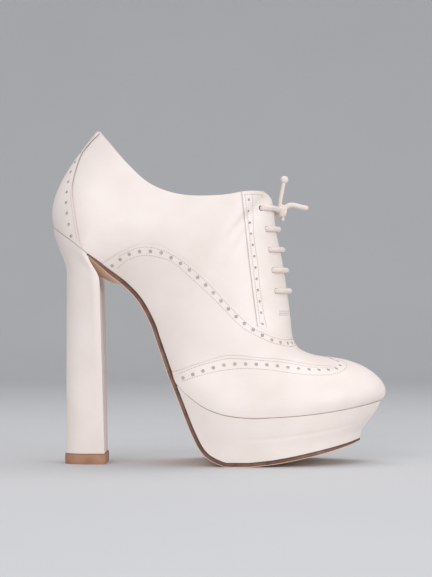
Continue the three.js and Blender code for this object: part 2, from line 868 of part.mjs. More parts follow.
// The same row carried on past its two ends
function widened(row) {
  const last = row.length - 1;
  const start = row[0].clone().lerp(row[1], -breastRoom);
  const end = row[last].clone().lerp(row[last - 1], -breastRoom);
  return [start, ...row.slice(1, last), end];
}

function heelBlock() {
  const floor = liftThickness + clearance;
  const block = slab(heelDepths.map((down) => heelLayer(down, floor, 0)));
  const rows = [soleRow(breastStation - breastGap), ...soleRows];
  const roomAt = (distance) => raised(rows, distance).map(widened);
  const soleRoom = slab([roomAt(outsoleThickness + clearance), roomAt(-clearance)]);
  return block.subtract(soleRoom);
}

function topLift() {
  return slab([
    heelLayer(1, liftThickness, liftOverhang), heelLayer(1, 0, liftOverhang),
  ]);
}

// The sock that covers the inside of the bottom
function insole() {
  const depth = innerDepth + clearance;
  const edges = wallStations.map((t) => ({
    t, outer: insetFoot(t, -1, depth), inner: insetFoot(t, 1, depth),
  }));
  const floor = edges.map(({ outer, inner }) =>
    acrossSteps.map((across) => {
      const point = outer.clone().lerp(inner, (across + 1) / 2);
      point.z = bottomHeight(point.x, point.y);
      return point;
    }),
  );
  const cover = floor.map((row, r) => {
    const way = bottomNormal(edges[r].t);
    return row.map((point) => point.clone().addScaledVector(way, -insoleThickness));
  });
  return slab([cover, floor]);
}

const cords = [
  meshOf("lace_tie_outer", laceTie(-1), laceCotton),
  meshOf("lace_tie_inner", laceTie(1), laceCotton),
  meshOf("lace_knot", ball(knotSize, knotCentre), laceCotton),
  meshOf("lace_end_up", laceEndUp(), laceCotton),
  meshOf("lace_end_ahead", cord(fromKnot(aheadRoute), laceDiameter), laceCotton),
];
const body = [
  meshOf("upper", lastUpper(), leather),
  meshOf("toe_cap", toeCap(), leather),
  meshOf("vamp", vamp(), leather),
  meshOf("facing_outer", facing(-1), leather),
  meshOf("facing_inner", facing(1), leather),
  meshOf("heel_counter", heelCounter(), leather),
  meshOf("tongue", tongue(), lining),
  ...laceHeights.slice(1).map((height, i) =>
    meshOf(`lace_bar_${i + 1}`, laceBar(height), laceCotton),
  ),
  meshOf("insole", insole(), lining),
  meshOf("outsole", outsole(), soleLeather),
  meshOf("platform", platform(), leather),
  meshOf("heel_block", heelBlock(), leather),
  meshOf("top_lift", topLift(), liftRubber),
];

// The origin goes to the middle of the shoe's box, on the floor.
const bounds = new THREE.Box3();
body.forEach((mesh) => bounds.expandByObject(mesh));
const centre = bounds.getCenter(new THREE.Vector3());

const root = new THREE.Group();
[...body, ...cords].forEach((mesh) => {
  mesh.geometry.translate(-centre.x, -centre.y, -bounds.min.z);
  root.add(mesh);
});

export default root;
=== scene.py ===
import math

import bpy
import numpy as np
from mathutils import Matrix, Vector
from mathutils.bvhtree import BVHTree


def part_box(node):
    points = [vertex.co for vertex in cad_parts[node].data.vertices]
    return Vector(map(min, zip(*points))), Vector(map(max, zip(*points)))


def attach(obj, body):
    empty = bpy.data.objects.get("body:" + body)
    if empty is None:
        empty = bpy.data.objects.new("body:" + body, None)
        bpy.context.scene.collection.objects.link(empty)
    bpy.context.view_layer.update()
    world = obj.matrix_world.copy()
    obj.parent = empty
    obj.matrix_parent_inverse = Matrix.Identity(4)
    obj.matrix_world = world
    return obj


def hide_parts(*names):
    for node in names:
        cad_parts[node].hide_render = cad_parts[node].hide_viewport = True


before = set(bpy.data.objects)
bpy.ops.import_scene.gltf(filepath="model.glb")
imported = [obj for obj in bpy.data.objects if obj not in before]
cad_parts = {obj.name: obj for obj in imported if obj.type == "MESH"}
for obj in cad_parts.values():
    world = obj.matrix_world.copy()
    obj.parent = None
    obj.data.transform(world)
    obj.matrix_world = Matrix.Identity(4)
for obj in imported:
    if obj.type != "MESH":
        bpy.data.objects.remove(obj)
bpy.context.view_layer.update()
print("frame loaded")

# Sizes of the shoe in millimetres, as it is built
shoe = {
    "length": 198.0,
    "heelHeight": 137.6,
    "platformHeight": 28.2,
    "toeSpring": 8.5,
    "collarRise": 57.1,
    "instepRise": 84.0,
    "toeRise": 32.0,
    "ballWidth": 82.0,
    "heelWidth": 54.0,
    "collarWidth": 52.0,
    "toeSwing": 4.0,
}
# Rows of shares from the back of the heel to the tip of the toe; the columns are named below
collarRows = [
    [0.012, 1.0, 0, 0, 0, 0.139, 1.0, 0, 0.3, 0.5, 0.35, 0.28],
    [0.039, 0.966, 0.63, 0.63, 0.1, 0.176, 0.918, 0.5, 0.32, 0.35, 0.35, 0.2],
    [0.09, 0.899, 0.96, 0.96, 0.22, 0.237, 0.806, 0.79, 0.33, 0.18, 0.35, 0.15],
    [0.123, 0.851, 1.0, 1.0, 0.3, 0.302, 0.706, 0.92, 0.33, 0.15, 0.35, 0.19],
]
instepRows = [
    [0.177, 0.78, 0.81, 0.79, 0.18, 0.389, 0.502, 1.0, 0.33, 0.33, 0.35, 0.22],
    [0.232, 0.703, 0.66, 0.62, 0, 0.495, 0.596, 1.02, 0.33, 0.48, 0.35, 0.22],
    [0.276, 0.618, 0.6, 0.54, 0, 0.576, 0.735, 0.9, 0.33, 0.54, 0.32, 0.26],
    [0.312, 0.501, 0.58, 0.51, 0, 0.626, 0.893, 0.6, 0.33, 0.54, 0.2, 0.43],
    [0.33, 0.41, 0.6, 0.53, 0, 0.659, 1.0, 0, 0.33, 0.52, 0.08, 0.76],
    [0.348, 0.319, 0.65, 0.58, 0, 0.674, 0.86, 0, 0.32, 0.45, 0, 0.69],
    [0.365, 0.234, 0.71, 0.65, 0, 0.692, 0.767, 0, 0.31, 0.38, 0, 0.63],
    [0.383, 0.161, 0.77, 0.72, 0, 0.707, 0.639, 0, 0.31, 0.3, 0, 0.58],
    [0.444, 0.068, 0.87, 0.84, 0, 0.715, 0.6, 0, 0.33, 0.18, 0, 0.6],
]
toeRows = [
    [0.507, 0.019, 0.94, 0.93, 0, 0.72, 1.46, 0, 0.36, 0.1, 0, 0.61],
    [0.581, 0, 0.985, 0.985, 0, 0.731, 1.3, 0, 0.4, 0.07, 0, 0.63],
    [0.652, 0, 1.0, 0.995, 0, 0.753, 1.166, 0, 0.45, 0.07, 0, 0.66],
    [0.722, 0, 0.965, 0.95, 0, 0.783, 1.07, 0, 0.45, 0.08, 0, 0.66],
    [0.788, 0, 0.88, 0.86, 0, 0.816, 0.997, 0, 0.42, 0.1, 0, 0.61],
    [0.848, 0, 0.745, 0.73, 0, 0.848, 0.922, 0, 0.38, 0.13, 0, 0.54],
    [0.914, 0, 0.525, 0.515, 0, 0.876, 0.825, 0, 0.33, 0.22, 0, 0.42],
    [0.96, 0, 0.28, 0.28, 0, 0.889, 0.747, 0, 0.3, 0.3, 0, 0.34],
    [0.986, 0, 0, 0, 0, 0.894, 0.703, 0, 0.3, 0.33, 0, 0.32],
]
along, up, outerHalf, innerHalf, dome, topAlong, rise, collar, low, lowOut, high, highOut = range(12)
breastStation, collarStation, frontStation, platformStation, ballStation = 3, 4, 8, 11, 15


def readRows():
    rows = []
    for group, size in ((collarRows, "collarRise"), (instepRows, "instepRise"), (toeRows, "toeRise")):
        for row in group:
            rows.append([value * shoe[size] if k == rise else value for k, value in enumerate(row)])
    table = np.array(rows)
    mirror = np.ones(12)
    mirror[[outerHalf, innerHalf, collar]] = -1
    return np.vstack([table[1] * mirror, table, table[-2] * mirror])


stationTable = readRows()
lastStation = len(stationTable) - 3


def smooth(x, start, end):
    f = np.clip((x - start) / (end - start), 0, 1)
    return f * f * (3 - 2 * f)


def curve(a, b, c, d, f):  # from b to c, on its way from a to d
    return b + 0.5 * f * (c - a + f * (2 * a - 5 * b + 4 * c - d + f * (3 * (b - c) + d - a)))


def between(t):
    t = np.asarray(t, float)
    start = np.clip(np.floor(t), 0, lastStation - 1).astype(int)
    return curve(*(stationTable[start + k] for k in range(4)), (t - start)[..., None])


def vec(x, y, z):
    return np.stack(np.broadcast_arrays(x, y, z), axis=-1).astype(float)


def unit(way, least=1e-9):
    return way / np.maximum(np.linalg.norm(way, axis=-1, keepdims=True), least)


def steps(*spans):
    return np.unique(np.concatenate([np.linspace(*span) for span in spans]).round(5))


def swingAt(x):
    return shoe["toeSwing"] * np.clip((x / shoe["length"] - 0.5) / 0.5, 0, 1) ** 2


def widthAt(row):
    return shoe["heelWidth"] + (shoe["ballWidth"] - shoe["heelWidth"]) * smooth(row[..., along], 0.12, 0.5)


def halfShare(row, side):
    return np.where(side < 0, row[..., outerHalf], row[..., innerHalf])


def footPoint(t, side):
    row = between(t)
    x = row[..., along] * shoe["length"]
    half = halfShare(row, side) * widthAt(row) / 2
    pitch = shoe["heelHeight"] - shoe["platformHeight"]
    spring = shoe["toeSpring"] * np.clip((row[..., along] - 0.581) / 0.405, 0, 1) ** 2
    return vec(x, swingAt(x) + side * half, shoe["platformHeight"] + row[..., up] * pitch + spring)


def outward(t, share, side, heelEnd):
    lean = np.sqrt(np.maximum(0, 1 - share * share))
    x = np.where(t < heelEnd, -lean, np.where(t > ballStation, lean, 0))
    y = np.where((t < heelEnd) | (t > ballStation), side * share, side)
    return vec(x, y, 0)


def bareSurface(t, side, v):
    t, side, v = (np.asarray(a, float) for a in np.broadcast_arrays(t, side, v))
    side = np.where((t < 0) | (t > lastStation), -side, side)
    t = np.where(t < 0, -t, np.where(t > lastStation, 2 * lastStation - t, t))
    row = between(t)
    foot = footPoint(t, side)
    half = (widthAt(row) / 2)[..., None]
    topX = row[..., topAlong] * shoe["length"]
    opening = np.where(t < frontStation, row[..., collar], 0)
    topY = swingAt(topX) + side * opening * shoe["collarWidth"] / 2
    top = vec(topX, topY, foot[..., 2] + row[..., rise])
    chord = top - foot
    chord[..., 1] = 0
    edge = np.clip(halfShare(row, side), 0, 1)
    topEdge = np.where(t < collarStation, np.clip(row[..., collar], 0, 1), edge)
    lowWay = outward(t, edge, side, breastStation)
    highWay = outward(t, topEdge, side, collarStation)
    highWay[..., 2] = np.where(t > ballStation, -0.27 * highWay[..., 0], 0)
    lowPoint = foot + chord * row[..., low, None] + lowWay * row[..., lowOut, None] * half
    highPoint = top - chord * row[..., high, None] + highWay * row[..., highOut, None] * half
    w = v[..., None]
    low3, high3 = 3 * lowPoint * w * (1 - w) ** 2, 3 * highPoint * w * w * (1 - w)
    return foot * (1 - w) ** 3 + low3 + high3 + top * w ** 3


def bareNormal(t, side, v):
    step = 0.01
    dt = bareSurface(t + step, side, v) - bareSurface(t - step, side, v)
    dv = bareSurface(t, side, v + step) - bareSurface(t, side, v - step)
    return unit(np.cross(dt, dv) * -np.asarray(side, float)[..., None])


# Soft troughs and ridges: station, v, how far they reach each way, and their depth
creases = [
    (13.4, 0.97, 0.35, 0.5, 0.35), (14.6, 0.93, 0.4, 0.35, 0.28), (10.4, 0.2, 0.8, 0.14, 0.3),
    (7.3, 0.67, 0.42, 0.15, 0.45), (8.2, 0.62, 0.42, 0.16, -0.6), (3.2, 0.12, 0.35, 0.12, 0.25),
]


def surface(t, side, v, depth=0.0):
    t, side, v = (np.asarray(a, float) for a in np.broadcast_arrays(t, side, v))
    dip = np.zeros(t.shape)
    for station, share, reachT, reachV, deep in creases:
        dip += deep * np.exp(-(((t - station) / reachT) ** 2 + ((v - share) / reachV) ** 2))
    normal = bareNormal(t, side, v)
    shared = unit(normal + bareNormal(t, -side, v))
    ridge = ((v >= 1) & (t >= frontStation))[..., None]
    return bareSurface(t, side, v) - np.where(ridge, shared, normal) * (depth + dip)[..., None]


# The frame's origin is the middle of the shoe's box, so it is read off two solids.
tipInset = 12.5
liftBox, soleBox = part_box("top_lift"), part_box("outsole")
originX = stationTable[-2][along] * shoe["length"] - tipInset - soleBox[1][0] * 1000
originY = -(liftBox[0][1] + liftBox[1][1]) * 500
origin = np.array([originX, originY, 0.0])


def metres(points):
    return (np.asarray(points, float) - origin) * 0.001


def addObject(name, data):
    thing = bpy.data.objects.new(name, data)
    bpy.context.scene.collection.objects.link(thing)
    return thing


# Camera, at the photo's height and angle
camera = {"along": -0.0019, "back": 1.0, "height": 0.0835, "lens": 106.07, "rise": 0.0546}
lens = bpy.data.cameras.new("camera")
lens.sensor_fit = "VERTICAL"
lens.sensor_height = 36
lens.lens = camera["lens"]
lens.shift_y = camera["rise"]
cameraObject = addObject("camera", lens)
cameraObject.location = (camera["along"], -camera["back"], camera["height"])
cameraObject.rotation_euler = (math.radians(90), 0, 0)
bpy.context.scene.camera = cameraObject


# Helpers for node trees: a value that is a socket is linked, any other is set
def feed(tree, node, inputs):
    for label, value in inputs.items():
        if isinstance(value, bpy.types.NodeSocket):
            tree.links.new(value, node.inputs[label])
        else:
            node.inputs[label].default_value = value
    return node


def addNode(tree, kind, inputs, **settings):
    node = tree.nodes.new(kind)
    for label, value in settings.items():
        setattr(node, label, value)
    return feed(tree, node, inputs)


def nodeGroup(name, kind, inputs, outputs):
    group = bpy.data.node_groups.new(name, kind)
    for way, sockets in (("INPUT", inputs), ("OUTPUT", outputs)):
        for label, value in sockets.items():
            named = isinstance(value, str)
            socketType = "NodeSocket" + (value if named else "Float")
            socket = group.interface.new_socket(label, in_out=way, socket_type=socketType)
            if not named:
                socket.default_value = value
    return group, group.nodes.new("NodeGroupInput"), group.nodes.new("NodeGroupOutput")


def mathNode(tree, operation, first, second):
    return addNode(tree, "ShaderNodeMath", {0: first, 1: second}, operation=operation).outputs[0]


def addRamp(tree, share, dark, light, places=(0.0, 1.0)):
    ramp = addNode(tree, "ShaderNodeValToRGB", {"Fac": share})
    for element, place, colour in zip(ramp.color_ramp.elements, places, (dark, light)):
        element.position = place
        element.color = (*colour, 1)
    return ramp.outputs["Color"]


def startMaterial(name):
    material = bpy.data.materials.new(name)
    material.use_nodes = True
    return material, material.node_tree, material.node_tree.nodes["Principled BSDF"]


# The grain that every leather, edge and thread shares
def makeGrain():
    inputs = {"Pores per metre": 1800.0, "Mottle per metre": 45.0}
    outputs = {"Height": 0.0, "Mottle": 0.0, "Fine": 0.0}
    group, source, result = nodeGroup("leatherGrain", "ShaderNodeTree", inputs, outputs)
    scale, wide = source.outputs["Pores per metre"], source.outputs["Mottle per metre"]
    place = group.nodes.new("ShaderNodeTexCoord").outputs["Object"]
    pores = addNode(group, "ShaderNodeTexVoronoi", {"Vector": place, "Scale": scale}).outputs["Distance"]
    narrow = mathNode(group, "MULTIPLY", scale, 0.35)
    fine, mottle = (
        addNode(group, "ShaderNodeTexNoise", {"Vector": place, "Scale": size, "Detail": fineness}).outputs[0]
        for size, fineness in ((narrow, 4), (wide, 3))
    )
    height = mathNode(group, "ADD", mathNode(group, "MULTIPLY", pores, 0.6), fine)
    feed(group, result, {"Height": height, "Mottle": mottle, "Fine": fine})
    return group


grainGroup = makeGrain()


def makeMaterial(name, look):
    material, tree, shader = startMaterial(name)
    dark, light, pores, mottle, smoothest, roughest, strength, height, coat = look
    grain = addNode(tree, "ShaderNodeGroup", {}, node_tree=grainGroup)
    feed(tree, grain, {"Pores per metre": pores, "Mottle per metre": mottle})
    rough = addNode(tree, "ShaderNodeMapRange", {
        "Value": grain.outputs["Fine"], "From Min": 0.3, "From Max": 0.7,
        "To Min": smoothest, "To Max": roughest,
    })
    bump = addNode(tree, "ShaderNodeBump", {
        "Height": grain.outputs["Height"], "Strength": strength, "Distance": height,
    })
    feed(tree, shader, {
        "Base Color": addRamp(tree, grain.outputs["Mottle"], dark, light, (0.32, 0.68)),
        "Roughness": rough.outputs["Result"], "Normal": bump.outputs["Normal"],
        "Coat Weight": coat, "Coat Roughness": 0.3,
    })
    return material


# Finishes: dark and light colour, pores and mottle per metre, smoothest and roughest,
# strength and height of the relief, coat
looks = {
    "ivoryLeather": [(0.85, 0.745, 0.685), (0.905, 0.81, 0.755), 1700, 40, 0.36, 0.46, 0.18, 0.00012, 0.12],
    # Panel edge walls: dyed cut-edge colour, darkened further as painted shade along the panel steps
    "cutEdge": [(0.36, 0.24, 0.19), (0.5, 0.36, 0.29), 2500, 300, 0.6, 0.75, 0.3, 0.0001, 0],
    # Hole walls and floors: partly the darker backing seen through perforations, partly painted shade inside
    # the holes
    "punched": [(0.50, 0.425, 0.385), (0.63, 0.55, 0.51), 2500, 300, 0.7, 0.85, 0.3, 0.0001, 0],
    "thread": [(0.42, 0.33, 0.285), (0.56, 0.46, 0.41), 4000, 900, 0.5, 0.65, 0.4, 0.0001, 0],
    "liningLeather": [(0.70, 0.58, 0.48), (0.80, 0.69, 0.59), 1300, 60, 0.6, 0.75, 0.25, 0.00015, 0],
    "soleLeather": [(0.74, 0.50, 0.355), (0.85, 0.60, 0.445), 1100, 70, 0.38, 0.52, 0.3, 0.00015, 0.1],
    "soleEdge": [(0.11, 0.04, 0.025), (0.22, 0.095, 0.062), 2400, 160, 0.35, 0.5, 0.35, 0.0001, 0.15],
    # Painted shade: a near-black band along the top of the sole edge, in the joint under the upper and
    # platform
    "edgeLine": [(0.045, 0.016, 0.011), (0.10, 0.036, 0.024), 2400, 160, 0.35, 0.5, 0.35, 0.0001, 0.15],
    "liftRubber": [(0.36, 0.18, 0.105), (0.47, 0.25, 0.15), 3000, 140, 0.5, 0.66, 0.35, 0.0001, 0],
}
materials = {name: makeMaterial(name, look) for name, look in looks.items()}
braid = {"dark": (0.72, 0.60, 0.53), "light": (0.80, 0.71, 0.645), "turn": 38, "perMetre": 420,
         "relief": 0.00012}


def makeLaceMaterial():
    material, tree, shader = startMaterial("laceCord")
    place = tree.nodes.new("ShaderNodeTexCoord").outputs["UV"]
    waves = []
    for way in (1, -1):
        turn = (0, 0, way * math.radians(braid["turn"]))
        turned = addNode(tree, "ShaderNodeMapping", {"Vector": place, "Rotation": turn}).outputs["Vector"]
        sizes = {"Scale": braid["perMetre"], "Distortion": 0.4}
        waves.append(addNode(tree, "ShaderNodeTexWave", {"Vector": turned, **sizes}).outputs["Fac"])
    high = mathNode(tree, "MAXIMUM", *waves)
    bump = addNode(tree, "ShaderNodeBump", {"Height": high, "Strength": 0.3, "Distance": braid["relief"]})
    colour = addRamp(tree, high, braid["dark"], braid["light"], (0.0, 0.7))
    feed(tree, shader, {
        "Base Color": colour, "Normal": bump.outputs["Normal"], "Roughness": 0.6, "Coat Weight": 0.08,
    })
    return material


materials["laceCord"] = makeLaceMaterial()


def shadeSmooth(mesh):
    mesh.polygons.foreach_set("use_smooth", np.ones(len(mesh.polygons), dtype=bool))


def makeObject(name, points, faces, slotName, *names, tags=None, uvs=None):
    mesh = bpy.data.meshes.new(name)
    mesh.from_pydata([tuple(p) for p in metres(points)], [], [tuple(int(i) for i in f) for f in faces])
    mesh.validate()
    for finish in names:
        mesh.materials.append(materials[finish])
    if tags is not None and len(mesh.polygons) == len(faces):
        mesh.polygons.foreach_set("material_index", np.asarray(tags, dtype=np.int32))
    if uvs is not None:
        layer = mesh.uv_layers.new(name="cordMap")
        for polygon in mesh.polygons:
            for corner, loop in enumerate(polygon.loop_indices):
                layer.data[loop].uv = uvs[polygon.index][corner]
    shadeSmooth(mesh)
    mesh.update()
    piece = addObject(name, mesh)
    return piece


def carry(piece, *nodes):
    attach(piece, "root")
    if nodes:
        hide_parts(*nodes)


# Laces, free ends first. Millimetres, and shares of the diameter for the thinner parts
lace = {"diameter": 3.1, "sides": 14, "rows": 5, "eyelet": 1.75, "eyeletOffset": 14.6, "middle": 0.74,
        "top": 148.25, "bottom": 100.34, "step": 0.8, "upThin": 0.76, "aheadThin": 0.95}


def throughPoints(points, spacing):
    p = np.asarray(points, float)
    p = np.vstack([2 * p[0] - p[1], p, 2 * p[-1] - p[-2]])
    shares = np.linspace(0, 1, 24, endpoint=False)
    fine = [curve(*p[k - 1:k + 3], f) for k in range(1, len(p) - 2) for f in shares]
    fine = np.array([*fine, p[-2]])
    run = np.concatenate([[0], np.cumsum(np.linalg.norm(np.diff(fine, axis=0), axis=1))])
    at = np.linspace(0, run[-1], max(int(round(run[-1] / spacing)), 2) + 1)
    return np.stack([np.interp(at, run, fine[:, k]) for k in range(3)], axis=1), run[-1]


def tube(name, points, radii):
    sides, rings, wide = lace["sides"], len(points), 0.009
    tangents = unit(np.gradient(points, axis=0))
    normal = unit(np.cross(tangents[0], [0.3, 0.2, 0.93]))
    runs = np.concatenate([[0], np.cumsum(np.linalg.norm(np.diff(points, axis=0), axis=1))]) / 1000
    verts, faces, uvs = [], [], []
    for k in range(rings):
        normal = unit(normal - tangents[k] * np.dot(normal, tangents[k]))
        other = np.cross(tangents[k], normal)
        for s in range(sides):
            angle = 2 * math.pi * s / sides
            verts.append(points[k] + radii[k] * (math.cos(angle) * normal + math.sin(angle) * other))
    for k in range(rings - 1):
        for s in range(sides):
            e = (s + 1) % sides
            faces.append((k * sides + s, k * sides + e, (k + 1) * sides + e, (k + 1) * sides + s))
            corners = ((s, k), (s + 1, k), (s + 1, k + 1), (s, k + 1))
            uvs.append([(around / sides * wide, runs[ring]) for around, ring in corners])
    for k in (0, rings - 1):
        verts.append(points[k])
        for s in range(sides):
            pair = (k * sides + s, k * sides + (s + 1) % sides)
            faces.append((*(pair if k else pair[::-1]), len(verts) - 1))
            uvs.append(((0, runs[k]), (0.001, runs[k]), (0.0005, runs[k] + 0.0005)))
    return makeObject(name, verts, faces, "lace_cotton", "laceCord", uvs=uvs)


def roundedRadii(count, radius, ends=2):
    radii = np.full(count, radius)
    for k in range(ends):
        end = radius * math.sin(math.pi / 2 * (k + 0.6) / (ends + 0.2))
        radii[k] = min(radii[k], end)
        radii[-1 - k] = min(radii[-1 - k], end)
    return radii


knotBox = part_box("lace_knot")
knotCentre = (np.array(knotBox[0]) + np.array(knotBox[1])) * 500 + origin
laceHeights = np.linspace(lace["top"], lace["bottom"], lace["rows"])


# The place on the shoe's front at a height and a distance from the middle
def frontAt(offsetY, height, lift):
    side = -1.0 if offsetY < 0 else 1.0
    stations, shares = np.linspace(7.0, 14.0, 141), np.linspace(0.3, 1.0, 141)
    stepT, stepV, three = 0.05, 0.005, np.array([-1, 0, 1])
    for trial in range(25):
        t, v = np.meshgrid(stations, shares, indexing="ij")
        p = bareSurface(t, side, v)
        miss = np.abs(p[..., 2] - height) + 2.0 * np.abs(np.abs(p[..., 1] - lace["middle"]) - abs(offsetY))
        i, j = np.unravel_index(np.argmin(miss), miss.shape)
        if trial and i == 1 and j == 1:
            stepT, stepV = stepT / 2, stepV / 2
        station, share = t[i, j], v[i, j]
        stations = station + stepT * three
        shares = np.minimum(share + stepV * three, 1)
    way = bareNormal(station, side, share)
    return bareSurface(station, side, share) + way * lift, way


def tiePath(side, route):
    away, top = lace["eyeletOffset"], laceHeights[0]
    onShoe = [(away, top, -1.6), (away - 0.5, top, 0.7), (away - 3.2, top, 1.55), (8.0, top + 0.2, 1.6)]
    byKnot = [(-1.6, side * 4.2, 0.6), (0.4, side * 0.6, 0.4), *route]
    points = [frontAt(side * offset, height, lift)[0] for offset, height, lift in onShoe]
    return points + [knotCentre + np.array(p) for p in byKnot]


upRoute = [(-0.4, -0.7, 4.6), (0.4, -1.0, 9.5), (1.15, -1.4, 13.5), (1.8, -1.6, 17.4)]
aheadRoute = [(3.4, 0.8, 2.6), (5.8, 1.1, 3.6), (8.8, 1.4, 3.3), (12.8, 1.7, 2.3), (16.4, 1.8, 1.7)]


def freeLace(name, side, route, nodes, thinning):
    points, length = throughPoints(tiePath(side, route), lace["step"])
    radii = roundedRadii(len(points), lace["diameter"] / 2)
    radii *= 1 - (1 - thinning) * smooth(np.linspace(0, 1, len(points)), 0.45, 0.6)
    piece = tube(name, points, radii)
    carry(piece, *nodes)
    print(name, "length", round(length, 1), "mm")


def lump(name, centre, size, seed):
    count, rings = 22, 14
    phase = np.random.default_rng(seed).uniform(0, 6.28, 3)
    verts, faces = [], []
    for r in range(1, rings):
        polar = math.pi * r / rings
        for s in range(count):
            angle = 2 * math.pi * s / count
            wide = math.sin(polar)
            way = np.array([wide * math.cos(angle), wide * math.sin(angle), math.cos(polar)])
            swell = 1 + 0.05 * math.sin(3 * angle + phase[0]) * wide + 0.045 * math.cos(2 * polar + phase[1])
            verts.append(centre + way * np.array(size) / 2 * swell)
    for r in range(rings - 2):
        for s in range(count):
            e = (s + 1) % count
            faces.append((r * count + s, (r + 1) * count + s, (r + 1) * count + e, r * count + e))
    pole = np.array([0, 0, size[2] / 2])
    verts += [centre + pole, centre - pole]
    top, bottom, start = len(verts) - 2, len(verts) - 1, (rings - 2) * count
    for s in range(count):
        e = (s + 1) % count
        faces += [(top, s, e), (bottom, start + e, start + s)]
    flat = [(float(x + y) / 1000, float(z) / 1000) for x, y, z in verts]
    uvs = [[flat[i] for i in face] for face in faces]
    return makeObject(name, verts, faces, "lace_cotton", "laceCord", uvs=uvs)


def wrap(name, centre, radius, across, upward, wraps, thickness):
    turns = np.linspace(0, 2 * math.pi * wraps, int(36 * wraps))
    first = unit(np.array(across))
    second = unit(np.array(upward) - first * np.dot(upward, first))
    axis, pitch = np.cross(first, second), 2.375
    points = []
    for a in turns:
        ring = radius * (math.cos(a) * first + math.sin(a) * second)
        points.append(centre + ring + axis * (a / (2 * math.pi) - wraps / 2) * pitch)
    return tube(name, np.array(points), roundedRadii(len(points), thickness, 3))


knotPieces = [
    lump("knot_core", knotCentre, (5.4, 6.6, 7.0), 3),
    wrap("knot_wrap_upper", knotCentre, 2.5, (1, 0, 0.2), (0, 0.35, 1), 1.35, 1.25),
    wrap("knot_wrap_lower", knotCentre + [0.3, 0, -0.4], 2.35, (1, 0.3, 0), (0, 1, -0.5), 1.2, 1.2),
]
tailRoute = [(0.5, 0.6, -1.5), (1.1, 0.9, -4.2), (1.0, 0.8, -6.0)]
tailPath, _ = throughPoints([knotCentre + np.array(p) for p in tailRoute], 0.6)
knotPieces.append(tube("knot_tail", tailPath, roundedRadii(len(tailPath), 1.15)))
tipKnot = lump("tip_knot", knotCentre + np.array([1.95, -1.6, 18.3]), (5.0, 4.9, 4.3), 8)
carry(knotPieces[0], "lace_knot")
for piece in (*knotPieces[1:], tipKnot):
    carry(piece)
freeLace("lace_up", -1, upRoute, ("lace_tie_outer", "lace_end_up"), lace["upThin"])
freeLace("lace_ahead", 1, aheadRoute, ("lace_tie_inner", "lace_end_ahead"),
         lace["aheadThin"])


def crossing(number, height):
    away = lace["eyeletOffset"]
    places = [(away + 0.3, -2.2), (away - 0.2, 0.2), (away - 1.6, 1.35), (10.0, 1.55), (5.0, 1.6)]
    outer, inner = ([frontAt(side * offset, height, lift)[0] for offset, lift in places] for side in (-1, 1))
    path, _ = throughPoints(outer + inner[::-1], lace["step"])
    radii = roundedRadii(len(path), lace["diameter"] / 2, 1)
    carry(tube(f"lace_crossing_{number}", path, radii), f"lace_bar_{number}")


for number, height in enumerate(laceHeights[1:], start=1):
    crossing(number, height)
print("laces made")

# Closed shells of the upper's wall
wallT = steps((0, 4, 33), (4, 8, 33), (8, 15, 57), (15, 20, 37), (20, 21, 13))
wallV = np.linspace(0, 1, 45)


def joinPoints(points, faces, tags):
    keys, index, kept = {}, [], []
    for p in points:
        key = tuple(np.round(p * 2000).astype(np.int64))
        if key not in keys:
            keys[key] = len(kept)
            kept.append(p)
        index.append(keys[key])
    outFaces, outTags = [], []
    for face, tag in zip(faces, tags):
        ring = []
        for corner in face:
            if index[corner] not in ring:
                ring.append(index[corner])
        if len(ring) > 2:
            outFaces.append(ring)
            outTags.append(tag)
    kept = np.array(kept)
    volume = 0.0
    for ring in outFaces:
        for k in range(1, len(ring) - 1):
            volume += np.dot(kept[ring[0]], np.cross(kept[ring[k]], kept[ring[k + 1]]))
    if volume < 0:
        outFaces = [ring[::-1] for ring in outFaces]
    return kept, outFaces, outTags


def wallShell(name, depths, finishes, lip=False):
    lipSteps = 7 if lip else 1
    t, v = np.meshgrid(wallT, wallV, indexing="ij")
    rim = wallT <= frontStation
    points, index, faces, tags = [], {}, [], []

    def addPoint(key, place):
        index[key] = len(points)
        points.append(place)

    def addFace(turned, tag, *keys):
        ring = [index[key] for key in keys]
        faces.append(ring[::-1] if turned else ring)
        tags.append(tag)

    for s, side in enumerate((-1.0, 1.0)):
        out, inn = (surface(t, side, v, depth) for depth in depths)
        inn[rim, -1, 2] = np.minimum(inn[rim, -1, 2], out[rim, -1, 2])
        for layer, grid in enumerate((out, inn)):
            for i, j in np.ndindex(grid.shape[:2]):
                addPoint((s, layer, i, j), grid[i, j])
        for i in np.flatnonzero(rim):
            a, b = out[i, -1], inn[i, -1]
            rising = unit(a - out[i, -2])
            bulge = 0.35 * np.linalg.norm(a - b) * (1 - smooth(wallT[i], 4.8, 5.8)) if lip else 0
            for k in range(lipSteps + 1):
                angle = math.pi * k / lipSteps
                over = rising * bulge * math.sin(angle)
                addPoint((s, "lip", i, k), (a + b) / 2 + (a - b) / 2 * math.cos(angle) + over)
    for s in range(2):
        for i in range(len(wallT) - 1):
            for j in range(len(wallV) - 1):
                square = [(i, j), (i + 1, j), (i + 1, j + 1), (i, j + 1)]
                addFace(s == 1, 0, *[(s, 0, *c) for c in square])
                addFace(s == 0, 1, *[(s, 1, *c) for c in square])
            addFace(s == 1, 2, (s, 0, i, 0), (s, 1, i, 0), (s, 1, i + 1, 0), (s, 0, i + 1, 0))
            if wallT[i + 1] <= frontStation:
                for k in range(lipSteps):
                    square = [(i, k), (i + 1, k), (i + 1, k + 1), (i, k + 1)]
                    addFace(s == 1, 0 if lip and k < lipSteps / 2 else 1, *[(s, "lip", *c) for c in square])
    points, faces, tags = joinPoints(np.array(points), faces, tags)
    return makeObject(name, points, faces, "upper_leather", *finishes, tags=tags)


